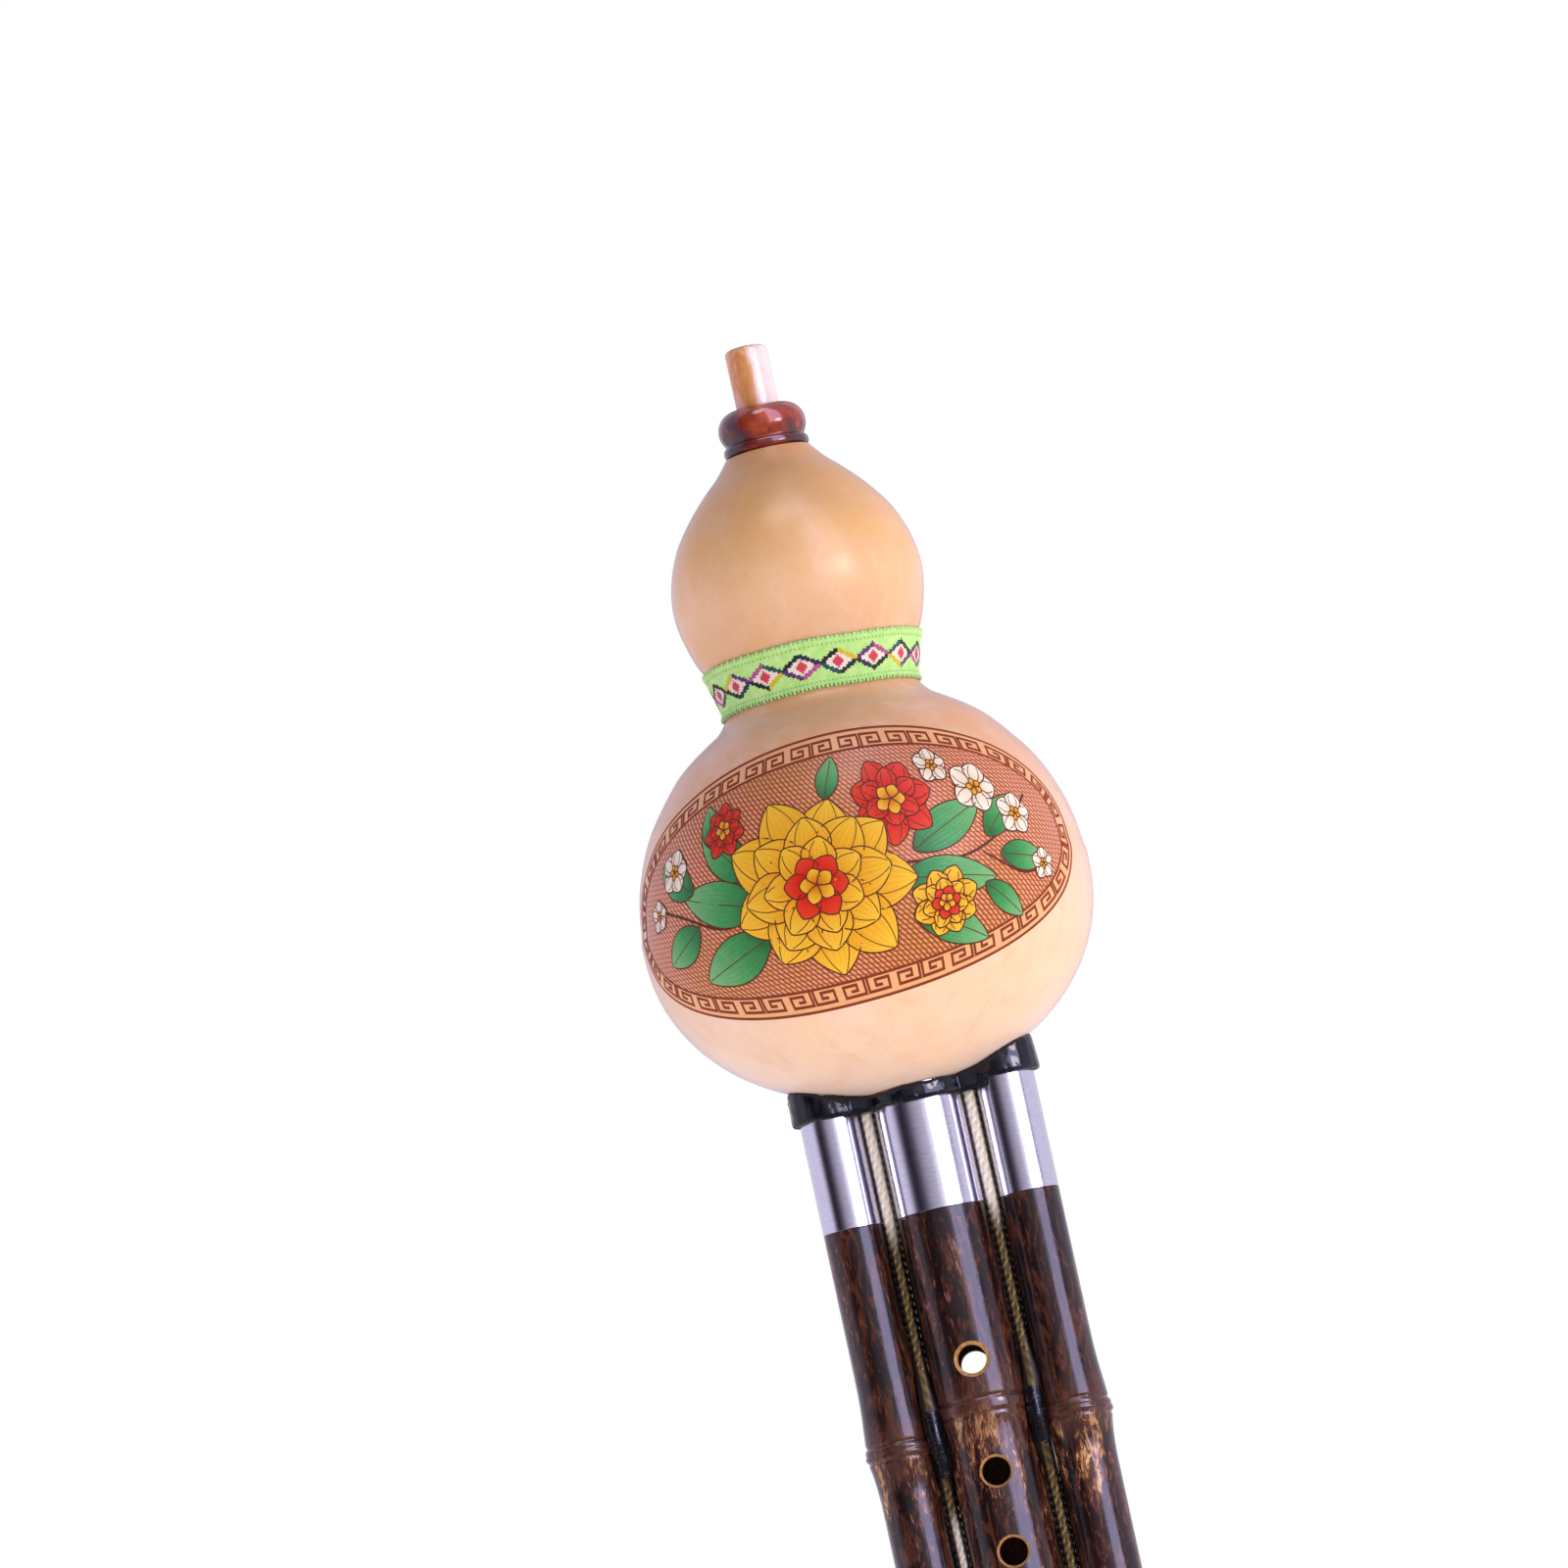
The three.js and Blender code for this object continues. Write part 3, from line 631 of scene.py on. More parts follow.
def make_gourd():
    inner = gourd_line[2:][gourd_line[2:, 1] < gourd_top - INNER_MARGIN]
    slope = np.gradient(inner, axis=0)
    normal = np.stack([slope[:, 1], -slope[:, 0]], 1)
    inner = inner - unit(normal) * GOURD_WALL
    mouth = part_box("mouth_collar")[0].z
    line = np.vstack([
        gourd_profile, [MOUTH_RADIUS, gourd_profile[-1, 1]],
        [MOUTH_RADIUS, max(mouth, inner[-1, 1] + GOURD_WALL)], inner[::-1], [0, inner[0, 1]]])
    gourd = turned("gourd", line, GOURD_COLUMNS, gourd_finish(), gourd_axis.xy, shape=ripple)
    finish_edges(gourd)
    cutters = []
    for name in PIPES:
        low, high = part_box(f"ferrule_{name}")
        radius = (high.x - low.x) / 2 + ROOT_GAP
        cutters.append(turned(
            f"root_cut_{name}", [(radius, low.z), (radius, high.z + 2 * GOURD_WALL)],
            ROOT_COLUMNS, gourd.data.materials[0], ((low + high) / 2).xy, caps=True))
    carve(gourd, cutters)
    finish_edges(gourd)
    ride(gourd, "gourd", "gourd_shell")


PLATE_BASE = -0.05  # how far a plate reaches into the skin, in millimetres


class Plates:
    """Thin closed plates on the gourd, gathered into one piece."""

    def __init__(self):
        self.points, self.faces, self.places = [], [], []

    def add(self, grid, top, places=None):
        """A plate over a grid of picture places, its face top millimetres off the skin."""
        grid = np.asarray(grid, float)
        rows, columns = grid.shape[:2]
        start = sum(len(part) for part in self.points)
        for lift in (top, PLATE_BASE):
            self.points.append(in_picture(grid, lift).reshape(-1, 3))
        size = rows * columns
        at = np.arange(size).reshape(rows, columns)
        rim = [*at[0], *at[1:, -1], *at[-1, -2::-1], *at[-2:0:-1, 0]]
        flat = np.asarray(grid if places is None else places, float).reshape(-1, 2)
        quads = [(at[i, j], at[i, j + 1], at[i + 1, j + 1], at[i + 1, j])
                 for i in range(rows - 1) for j in range(columns - 1)]
        quads += [tuple(size + k for k in quad[::-1]) for quad in quads]
        quads += [(a, a + size, b + size, b) for a, b in zip(rim, rim[1:] + rim[:1])]
        for quad in quads:
            self.faces.append(tuple(start + k for k in quad))
            self.places += [flat[k % size] for k in quad]

    def stroke(self, line, width, top, closed=False):
        """A drawn line of even width."""
        line = np.asarray(line, float)
        if closed:
            before, after = np.roll(line, 1, axis=0), np.roll(line, -1, axis=0)
        else:
            before = np.vstack([2 * line[0] - line[1], line[:-1]])
            after = np.vstack([line[1:], 2 * line[-1] - line[-2]])
        arriving, leaving = unit(line - before), unit(after - line)
        side = np.stack([-arriving[:, 1] - leaving[:, 1], arriving[:, 0] + leaving[:, 0]], 1)
        side = side / np.maximum((side ** 2).sum(1), 1.0)[:, None]
        grid = np.stack([line - side * width, line + side * width], 1)
        if closed:
            grid = np.vstack([grid, grid[:1]])
        self.add(grid, top)

    def make(self, name, material):
        piece = add_piece(name, np.vstack(self.points), self.faces, material, self.places, False)
        finish_edges(piece, weld=1e-9)
        ride(piece, "gourd")


# Border: two outlines with a key fret between them
OUTLINE_WIDTH = 0.5
FRET_WIDTH = 0.55
FRET_PITCH = 6.3
INK_HEIGHT = 0.035
FRET_SHARES = [  # one key: [share of the pitch, share of the band]
    (0.06, 0.0), (0.06, 0.72), (0.82, 0.72), (0.82, 0.16), (0.34, 0.16), (0.34, 0.46),
    (0.58, 0.46),
]


def oval_line(inset, count=720):
    """The oval, set in by millimetres."""
    angles = np.arange(count) / count * TURN
    cosine, sine = np.cos(angles), np.sin(angles)
    power = 2 / OVAL_POWER
    across = np.sign(cosine) * np.abs(cosine) ** power * OVAL_HALF_WIDTH
    up = np.sign(sine) * np.abs(sine) ** power * OVAL_HALF_HEIGHT
    line = np.stack([across, up], 1)
    ahead = np.roll(line, -1, axis=0) - np.roll(line, 1, axis=0)
    return line + unit(np.stack([-ahead[:, 1], ahead[:, 0]], 1)) * inset


def along_border(distances, insets):
    """Places in the border, by distance along the oval and inset from it, and its length."""
    base, deep = oval_line(0), oval_line(BORDER_WIDTH)
    loop = np.vstack([base, base[:1]])
    travels = travel_along(loop)
    travel = np.asarray(distances) % travels[-1]
    shift = at_travel(travel, travels, np.vstack([deep, deep[:1]]) - loop)
    shares = (np.asarray(insets) / BORDER_WIDTH)[..., None]
    return at_travel(travel, travels, loop) + shift * shares, travels[-1]


def subdivided(line, step):
    """The same line with points no further apart than step."""
    made = [line[0]]
    for a, b in zip(line, line[1:]):
        count = max(1, math.ceil(math.dist(a, b) / step))
        made += [[a[k] + (b[k] - a[k]) * i / count for k in (0, 1)] for i in range(1, count + 1)]
    return np.array(made)


def make_border():
    ink = Plates()
    for inset in (OUTLINE_WIDTH / 2, BORDER_WIDTH - OUTLINE_WIDTH / 2):
        ink.stroke(oval_line(inset, 360), OUTLINE_WIDTH, INK_HEIGHT, closed=True)
    length = along_border([0], [0])[1]
    count = 2 * round(length / FRET_PITCH / 2)
    pitch = length / count
    band = BORDER_WIDTH - 2 * OUTLINE_WIDTH
    for k in range(count):
        shares = [(share if k % 2 else 1 - share, rise) for share, rise in FRET_SHARES]
        line = subdivided([
            ((k + share) * pitch, OUTLINE_WIDTH + band * (1 - rise)) for share, rise in shares], 1)
        places, _ = along_border(line[:, 0], line[:, 1])
        ink.stroke(places, FRET_WIDTH, INK_HEIGHT)
    ink.make("gourd_border", grained(
        "burnt_line", (), (0.7, 3), ((0.3, "#8c3b2b"), (0.7, "#7a3a22")), 0.03, Roughness=0.5,
        Specular_IOR_Level=0.1))


# Painted flowers: layers of petals and leaves, each with a drawn edge
PAINT_STEP = 0.006  # how much higher each layer lies
PEN_WIDTH = 0.28
PAINT_CELL = 1.15  # so that the plates follow the gourd's curve
BRUSH_STREAKS = 9.0


class Painting:
    """Petals and leaves in layers. Each colour is one piece, and the drawn lines are another."""

    def __init__(self):
        self.fills = {}
        self.pen = Plates()
        self.count = 0

    def blade(self, colour, root, angle, length, width, layer, point, bend, veins):
        """A petal or a leaf from its root. angle is from upright, clockwise, in degrees."""
        self.count += 1
        rows = max(9, math.ceil(length / PAINT_CELL * 1.3))
        columns = max(5, math.ceil(width / PAINT_CELL))
        share = (1 - np.cos(np.linspace(0, math.pi, rows))) / 2
        half = width / 2 * np.sin(math.pi * share ** point) ** 0.75 + 0.04
        side = np.linspace(-1, 1, columns)
        curve = bend * length * share ** 2
        across = side[None, :] * half[:, None] + curve[:, None]
        up = np.broadcast_to(share[:, None] * length, across.shape)
        turn = math.radians(angle)

        def placed(a, b):
            return np.stack([
                root[0] + a * math.cos(turn) + b * math.sin(turn),
                root[1] - a * math.sin(turn) + b * math.cos(turn)], -1)

        top = INK_HEIGHT + PAINT_STEP * layer
        places = np.stack([
            np.broadcast_to(side[None, :] * 0.49 + 0.5 + self.count, across.shape),
            np.broadcast_to(share[:, None] * 0.98 + 0.01, across.shape)], -1)
        self.fills.setdefault(colour, Plates()).add(placed(across, up), top, places)
        edge = np.vstack([placed(across[:, 0], up[:, 0]), placed(across[::-1, -1], up[::-1, -1])])
        self.pen.stroke(edge, PEN_WIDTH, top + PAINT_STEP / 2, closed=True)
        for vein in np.linspace(-0.5, 0.5, veins) if veins > 1 else [0] * veins:
            reach = share[2:-2]
            line = placed(vein * half[2:-2] + curve[2:-2], reach * length)
            self.pen.stroke(line, PEN_WIDTH * 0.7, top + PAINT_STEP / 2)

    def stem(self, points, width, layer):
        """A thin painted stem along a curve."""
        self.pen.stroke(smooth_line(points, 8), width, INK_HEIGHT + PAINT_STEP * layer)

    def blossom(self, middle, radius, rings, turn, layer):
        """Rings of petals. A ring is [colour, petals, share of the radius, share of the width]."""
        for colour, count, reach, wide in rings:
            turn += 180 / count
            for k in range(count):
                wave = 1 + 0.08 * math.sin(5 * k + 11 * reach)
                rise = 2 if count % 2 and k == count - 1 else k % 2
                self.blade(
                    colour, middle, turn + 360 * k / count, radius * reach * wave,
                    radius * reach * wide, layer + rise, 1.35, 0.04 * math.sin(3 * k),
                    2 if reach > 0.5 else 0)
            layer += 3

    def make(self, finishes):
        for colour, plates in self.fills.items():
            plates.make(f"paint_{colour}", finishes[colour])
        self.pen.make("pen_lines", finishes["pen"])


def paint_finish(name, root, middle, tip):
    """Lacquer paint, shaded from a petal's root to its tip, with brush streaks along it."""
    finish = Finish(name, Roughness=0.5, Specular_IOR_Level=0.15, Coat_Weight=0.12,
                    Coat_Roughness=0.15)
    across, along, _ = finish.surface().axes()
    fine = finish.noise((), 0.8, 3)
    colour = (along + (fine - 0.5) * 0.35).ramp((0.05, root), (0.45, middle), (0.95, tip))
    brush = ((across * BRUSH_STREAKS * TURN).sine() * 0.5 + 0.5) * fine
    return finish.done((brush * 0.35).mix(colour, root), fine + brush, 0.03)


# Leaves: [root, angle, length, width]
LEAVES = [
    ((-16, -4), -74, 20, 9), ((-16, -10), -106, 19, 9), ((-17, 2), -46, 17, 8),
    ((-32, 3), -58, 13, 7), ((-32, -4), -114, 13, 7), ((-25, 10), -18, 9, 5),
    ((12, -6), 96, 20, 8), ((16, -1), 64, 18, 8), ((13, -13), 112, 17, 7),
    ((32, -1), 50, 12, 6), ((34, -5), 98, 12, 6), ((29, -10), 128, 11, 5), ((1, 13), 20, 9, 5),
]
PEONY = [("gold", 9, 1.0, 0.62), ("gold", 8, 0.77, 0.7), ("gold", 7, 0.56, 0.7),
         ("red", 6, 0.36, 0.75), ("gold", 5, 0.2, 0.8)]
ROSETTE = [("red", 7, 1.0, 0.66), ("red", 6, 0.68, 0.72), ("gold", 5, 0.36, 0.8)]
PLUM = [("white", 5, 1.0, 0.92), ("gold", 5, 0.34, 0.7)]
PLUMS = [  # [middle, radius]
    ((33.5, 9), 5.4), ((41, 2.5), 4.4), ((-37.5, 8.5), 4.4), ((26, 15), 3.8), ((-45, 1.5), 3.2),
    ((45, -8), 3.2),
]
PAINTS = {  # at a petal's root, in its middle and at its tip
    "gold_paint": ("#c4640c", "#e39c18", "#f5c83c"),
    "red_paint": ("#9c1008", "#d4200f", "#e4442a"),
    "green_paint": ("#236b3a", "#459a5a", "#7fbe84"),
    "white_paint": ("#e2b9a8", "#ece0cf", "#f8f4ea"),
    "pen_ink": ("#5b2a14", "#6a3216", "#5b2a14"),
}


def make_painting():
    painting = Painting()
    painting.stem([(-14, -4), (-25, -6), (-36, -1), (-46, 3)], 0.55, 0)
    painting.stem([(14, -3), (26, -4), (37, 0), (46, 6)], 0.55, 0)
    painting.stem([(30, -4), (38, -9), (44, -9)], 0.45, 1)
    for layer, (root, angle, length, width) in enumerate(LEAVES):
        painting.blade("green", root, angle, length, width, layer + 1, 0.9, 0.05, 1)
    above = len(LEAVES) + 1
    painting.blossom((14.5, 10), 9, ROSETTE, 10, above)
    painting.blossom((-22.5, 13), 5.4, ROSETTE, 30, above)
    painting.blossom((20, -12), 8.8, PEONY[1:], 5, above)
    painting.blossom((-4, -3), 18.3, PEONY, 0, above + 10)
    for middle, radius in PLUMS:
        painting.blossom(middle, radius, PLUM, 12 * radius, above)
    painting.make({name.split("_")[0]: paint_finish(name, *PAINTS[name]) for name in PAINTS})


# Ribbon round the waist

RIBBON_GAP = 0.25 * MM
RIBBON_THICKNESS = 0.7 * MM
THREAD = 0.42  # one thread's width, in millimetres
DIAMONDS = 17
DIAMOND_HALF_HEIGHT = 2.3
LINE_HALF_WIDTH = 0.5
FIELD_SHARE = 0.74
HEART_HALF = 0.95
SELVEDGE = 0.9
WOVEN_HEIGHT = 0.10
SELVEDGE_HEIGHT = 0.13
EDGE_ROUND = 0.25
SCALLOP_PITCH = 1.7
SCALLOP_DEPTH = 0.12
RIBBON_WAVES = [(0.12, 3, 1), (0.08, 7, 0)]  # [depth, waves round it, start in radians]
RIBBON_COLUMNS = 480
RIBBON_ROWS = 30


def ribbon_pattern(along, across, width, pitch):
    """How far a thread stands proud, for the woven diamonds and the edges."""
    beside = np.abs((along / pitch) % 1 - 0.5) * pitch
    zigzag = np.abs(np.abs(across) - DIAMOND_HALF_HEIGHT * (1 - beside / pitch * 2))
    woven = (zigzag < LINE_HALF_WIDTH) | (beside + np.abs(across) < HEART_HALF * 1.3)
    edge = np.abs(across) > width / 2 - SELVEDGE
    return WOVEN_HEIGHT * woven + SELVEDGE_HEIGHT * edge


def ribbon_finish(width, pitch):
    finish = Finish("woven_ribbon", Roughness=0.8, Sheen_Weight=0.25, Sheen_Roughness=0.4)
    along, across, _ = finish.surface().axes()
    thread_along = ((along / THREAD).whole() + 0.5) * THREAD
    thread_across = ((across / THREAD).whole() + 0.5) * THREAD
    beside = abs((thread_along / pitch).part() - 0.5) * pitch
    rise = abs(thread_across)
    rim = (beside / pitch * -2 + 1) * DIAMOND_HALF_HEIGHT
    edging = abs(rise - rim).below(LINE_HALF_WIDTH)
    field = rise.below(rim * FIELD_SHARE - 0.1)
    heart = (beside + rise).below(HEART_HALF * 1.35)
    half = (thread_along * 2 / pitch).whole() + thread_across.above(0) * 3
    threads = (half * 0.143 + 0.07).part().ramp(
        (0.0, "#23244e"), (0.14, "#101014"), (0.29, "#dcc42e"), (0.43, "#5f2c74"),
        (0.57, "#b8549a"), (0.71, "#175058"), (0.86, "#15161e"), steps=True)
    wear = finish.noise((), 0.6, 3)
    green = wear.ramp((0.3, "#b0ef84"), (0.7, "#cefca4"))
    stitch = (along / (2 * THREAD)).part().below(0.5)
    dots = abs(abs(across) - (width / 2 - 1.35)).below(0.22) * stitch
    edge = abs(across).above(width / 2 - 0.4) * stitch * (across.below(0) * 0.3 + 0.45)
    loose = finish.noise((), 1.1, 3, 0.7).between(0.52, 0.68)
    rib = ((along / THREAD * TURN).sine() * (across / THREAD * TURN).sine()) * 0.5 + 0.5
    colour = layered(
        green, (loose * 0.45, "#d9ffb8"), (dots * 0.5, "#57a643"), (edge, "#2f6a30"),
        (field, "#f3eee6"), (heart, "#d8405c"), (edging, threads), (rib * 0.1, "#3d5a34"))
    return finish.done(colour, rib + wear * 0.5, 0.09)


def make_ribbon():
    low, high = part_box("waist_ribbon")
    width, middle = high.z - low.z, (low.z + high.z) / 2
    radius = gourd_radius(0, middle) + RIBBON_GAP
    round_it = TURN * radius
    pitch = round_it / MM / DIAMONDS
    azimuths = np.arange(RIBBON_COLUMNS) / RIBBON_COLUMNS * TURN
    across = np.linspace(-width / 2, width / 2, RIBBON_ROWS)
    along = azimuths * radius
    wave = sum(depth * MM * np.sin(count * azimuths + start)
               for depth, count, start in RIBBON_WAVES)
    scallops = round(round_it / MM / SCALLOP_PITCH)
    scallop = np.cos(scallops * azimuths) * SCALLOP_DEPTH * MM
    share = across / (width / 2)
    heights = middle + across[:, None] + wave[None, :] + (share ** 9)[:, None] * scallop[None, :]
    proud = ribbon_pattern(along[None, :] / MM, across[:, None] / MM, width / MM, pitch) * MM
    front = on_gourd(azimuths[None, :], heights, 0)
    outward = on_gourd(azimuths[None, :], heights, MM) - front
    edge_round = (np.abs(across) / (width / 2)) ** 12 * EDGE_ROUND * MM
    thick = RIBBON_GAP + RIBBON_THICKNESS * 0.8 + proud - edge_round[:, None]
    outside = front + outward / MM * thick[..., None]
    inside = front + outward / MM * RIBBON_GAP
    points = np.concatenate([outside, inside[::-1]])
    places_along = np.arange(RIBBON_COLUMNS + 1) / RIBBON_COLUMNS * round_it / MM
    across_all = np.concatenate([across, across[::-1]]) / MM
    places = crossed(places_along, across_all)
    flat, faces, corners = skin(points, places, wrap_rings=True)
    ribbon = add_piece("ribbon", flat, faces, ribbon_finish(width / MM, pitch), corners)
    finish_edges(ribbon, 50)
    ride(ribbon, "ribbon", "waist_ribbon")


# Collar and mouthpiece

COLLAR_BORE = 4.4 * MM
MOUTH_BORE = 2.4 * MM
MOUTH_LIP = 1.1 * MM  # rounding of its outer edge
MOUTH_BEVEL = 0.4 * MM  # and of its inner edge


def collar_finish():
    finish = Finish("red_wood", Roughness=0.4, Specular_IOR_Level=0.2, Coat_Weight=1,
                    Coat_Roughness=0.09)
    x, _, z = finish.place().axes()
    x = x - gourd_axis.x / MM
    grain = finish.noise((0.7, 0.7, 0.9), 0.2, 3, 0.55, 1.2)
    fine = finish.noise((1, 1, 0.5), 1.3, 3, 0.6)
    low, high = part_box("mouth_collar")
    rise = (z - low.z / MM) / ((high.z - low.z) / MM)
    # The terms in x and in rise are painted light and shade: darker on the left and at the far
    # right of the front, brighter in the middle and toward the top.
    heart = x.between(-6.5, 0.5) * 0.2 + rise.between(0.4, 0.95) * 0.11
    colour = (grain * 0.6 + fine * 0.16 + heart - x.between(2.5, 8) * 0.12).ramp(
        (0.36, "#32101e"), (0.46, "#4a161a"), (0.57, "#7a2416"), (0.7, "#b04416"))
    return finish.done(colour, grain * 0.7 + fine * 0.3, 0.07)


def make_collar():
    line = outline("mouth_collar", 0)
    low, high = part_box("mouth_collar")
    shown = line[line[:, 1] > gourd_top - MM / 10]
    spigot = line[0, 0]
    beads = smooth_line(shown[1:] if abs(shown[0, 0] - spigot) < 1e-5 else shown, 5)
    widest = np.argmax(beads[:, 0])
    radius, start = beads[widest]
    dome = [(COLLAR_BORE + (radius - COLLAR_BORE) * math.cos(a) ** 0.8,
             start + (high.z - start) * math.sin(a)) for a in np.linspace(0, math.pi / 2, 16)]
    profile = [(COLLAR_BORE, low.z), (spigot, low.z), (spigot, beads[0, 1]), *beads[:widest],
               *dome]
    turned_on("mouth_collar", "collar", profile, collar_finish(), "red_wood", columns=72,
              sharp=50)


def mouthpiece_finish():
    finish = Finish("mouthpiece_stone", Roughness=0.28, Coat_Weight=0.6, Coat_Roughness=0.15,
                    Subsurface_Weight=0.25, Subsurface_Scale=0.002)
    x = finish.place().axes()[0] - gourd_axis.x / MM
    cloud = finish.noise((1, 1, 0.45), 0.22, 3, 0.55, 1.2)
    vein = finish.noise((1, 1, 0.5), 0.7, 4, 0.6, 1.0)
    # side is partly painted light. The paler, lavender right side is a painted reflection of the
    # tall lamp to the right. The orange-brown to the left is partly the stone's own stain and
    # partly painted shade.
    side = x.between(2.2, -0.8) * 0.3 + x * -0.02
    colour = (cloud * 0.75 + side + vein * 0.2 - 0.05).ramp(
        (0.42, "#efdfe6"), (0.54, "#ecd0c4"), (0.64, "#dfa678"), (0.78, "#cd8748"),
        (0.9, "#dfa58c"))
    return finish.done((vein.between(0.55, 0.75) * 0.3).mix(colour, "#f6e4dc"), vein, 0.05)


def make_mouthpiece():
    low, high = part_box("mouthpiece")
    radius = (high.x - low.x) / 2
    arc = [(radius - MOUTH_LIP + MOUTH_LIP * math.cos(a),
            high.z - MOUTH_LIP + MOUTH_LIP * math.sin(a)) for a in np.linspace(0, math.pi / 2, 7)]
    mouth = [(MOUTH_BORE + MOUTH_BEVEL * (1 - math.sin(a)),
              high.z - MOUTH_BEVEL * (1 - math.cos(a))) for a in np.linspace(0, math.pi / 2, 4)]
    sides = [(radius, z) for z in np.linspace(low.z, high.z - MOUTH_LIP, 12)]
    profile = [(MOUTH_BORE, low.z), *sides, *arc[1:], *mouth]
    turned_on("mouthpiece", "mouth_tube", profile, mouthpiece_finish(), "mouthpiece",
              columns=56, sharp=50)


# Ferrules

FERRULE_WALL = 0.7 * MM
FERRULE_EDGE = 0.08 * MM


def steel_finish():
    finish = Finish("polished_steel", Metallic=1, Roughness=0.1)
    brushed = finish.noise((0.6, 0.6, 9), 0.8, 3, 0.6)
    scratch = finish.noise((3, 3, 0.15), 1.2, 3, 0.7)
    finish.set("Roughness", brushed * 0.08 + scratch * 0.10 + 0.07)
    return finish.done(brushed.ramp((0.3, "#d5d2dd"), (0.7, "#e9e7ef")), brushed + scratch, 0.004)


def make_ferrules():
    finish = steel_finish()
    for name in PIPES:
        low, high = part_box(f"ferrule_{name}")
        radius = (high.x - low.x) / 2
        inner, edge = radius - FERRULE_WALL, radius - FERRULE_EDGE
        sides = np.linspace(low.z + 2 * FERRULE_EDGE, high.z - FERRULE_EDGE, 9)
        profile = [(inner, low.z), (edge, low.z), (radius, low.z + FERRULE_EDGE),
                   *[(radius, z) for z in sides], (edge, high.z), (inner, high.z)]
        turned_on(f"ferrule_{name}", f"ferrule_tube_{name}", profile, finish, "steel",
                  columns=72, sharp=30)


# Bamboo pipes


def pipe_facts(name):
    """Radius, bore, tenon radius, shoulder height and node heights, read from the CAD pipe."""
    node = f"pipe_{name}"
    low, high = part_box(node)
    line = outline(node, math.radians(45))
    centre = middle_of(node).xy
    reach = [(v.co.xy - centre).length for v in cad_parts[node].data.vertices]
    radius = line[0, 0]
    shoulder = line[line[:, 0] > radius - MM / 10][-1, 1]
    swell = line[:, 0].max() - radius
    rings = [height for across, height in line if across > radius + swell * 0.9]
    return SimpleNamespace(
        name=name, low=low.z, high=high.z, centre=centre, radius=radius, bore=min(reach),
        tenon=line[-1, 0], shoulder=shoulder, swell=swell,
        nodes=[sum(group) / len(group) for group in grouped(rings, 10 * MM)])


# Where the pale marks below the nodes gather, in radians round the pipe from the front
CLUMP_TURN = {"main": -0.12, "left": 0.3, "right": 0.25}
SEED_STEP = 37.0  # how far apart in the grain two pipes are, in millimetres
PIPE_COLUMNS = 88
PIPE_STEP = 3.5 * MM  # between a pipe's rings of corners
NODE_STEPS = [(14 * MM, 1 * MM), (3.2 * MM, 0.2 * MM)]  # and [either side of a node, step]
PIPE_EDGE = 0.3 * MM
SHOULDER_RISE = 0.24 * MM  # the shoulder meets the ferrule
SHOULDER_EDGE = 0.1 * MM
HOLE_COLUMNS = 40
HOLE_BEVEL = 0.5 * MM
TOP_HOLE_BEVEL = 0.75 * MM
HOLE_BEVEL_DEPTH = 0.55 * MM
HOLE_GAP = 0.05 * MM  # how far a bevel starts outside the pipe


def bamboo_finish(pipe, seed):
    finish = Finish(f"bamboo_{pipe.name}", Roughness=0.5, Specular_IOR_Level=0.08,
                    Coat_Weight=1, Coat_Roughness=0.06)
    shift = seed * SEED_STEP
    placed = add_node(
        finish.tree, "VectorMath", {0: finish.place(), 1: (shift, shift, shift)}, operation="ADD")

    def grain(x, z, *settings):
        """Noise in the pipe's own wood, stretched along it."""
        return finish.noise(finish.scaled(placed, x, x, z), 1, *settings)

    x, y, z = finish.place().axes()
    below = above = None
    for height in pipe.nodes:
        down = z * -1 + height / MM
        patch = down.between(0, 2) * (down * -1).between(-26, -9)
        ring = (abs(down) * -1).between(-9, -1)
        below = patch if below is None else below.either(patch)
        above = ring if above is None else above.either(ring)
    clump = grain(0.2, 0.035, 2, 0.5)
    centre = pipe.centre / MM
    turn = (x - centre.x).angle((y - centre.y) * -1)
    front = abs(turn - CLUMP_TURN[pipe.name]).between(0.75, 0.25)
    below = below * (front * 0.7).either(clump.between(0.42, 0.62)).either(0.25)
    broad = grain(0.22, 0.05, 3, 0.6, 0.8)
    mottle = grain(0.42, 0.10, 4, 0.62, 1.4)
    fleck = grain(1.15, 0.30, 5, 0.66, 1.3)
    speck = grain(3.0, 0.9, 3, 0.6)
    fibre = grain(6, 0.10, 2, 0.5)
    dark = broad.ramp((0.3, "#0f0608"), (0.5, "#1d0e0c"), (0.7, "#301810"))
    patch, fewer = (0.15, 0.01) if pipe.name == "main" else (0.14, 0.03)
    light = fleck * 0.8 + mottle * 0.4 + speck * 0.12 + (broad - 0.5) * 0.35
    light = light + below * patch - fewer
    colour = layered(
        dark, ((mottle + speck * 0.2).between(0.58, 0.72), "#4e2917"),
        (light.between(0.70, 0.76), "#5a3029"),
        (light.between(0.76, 0.82), below.mix("#7f5745", "#ad7a46")),
        (light.between(0.82, 0.90), below.mix("#b8957d", "#e4c08c")),
        (above * 0.55, fleck.ramp((0.4, "#4c2a20"), (0.6, "#6a4030"))),
        (fibre.between(0.55, 0.8) * 0.4, "#150a08"))
    return finish.done(colour, fibre * 0.4 + mottle * 0.6 + fleck * below * 2, 0.05, 0.6)


def raw_bamboo(name, light, dark):
    return grained(name, (1.5, 1.5, 0.4), (1.2, 4, 0.6), ((0.3, dark), (0.7, light)), 0.08,
                   Roughness=0.6)


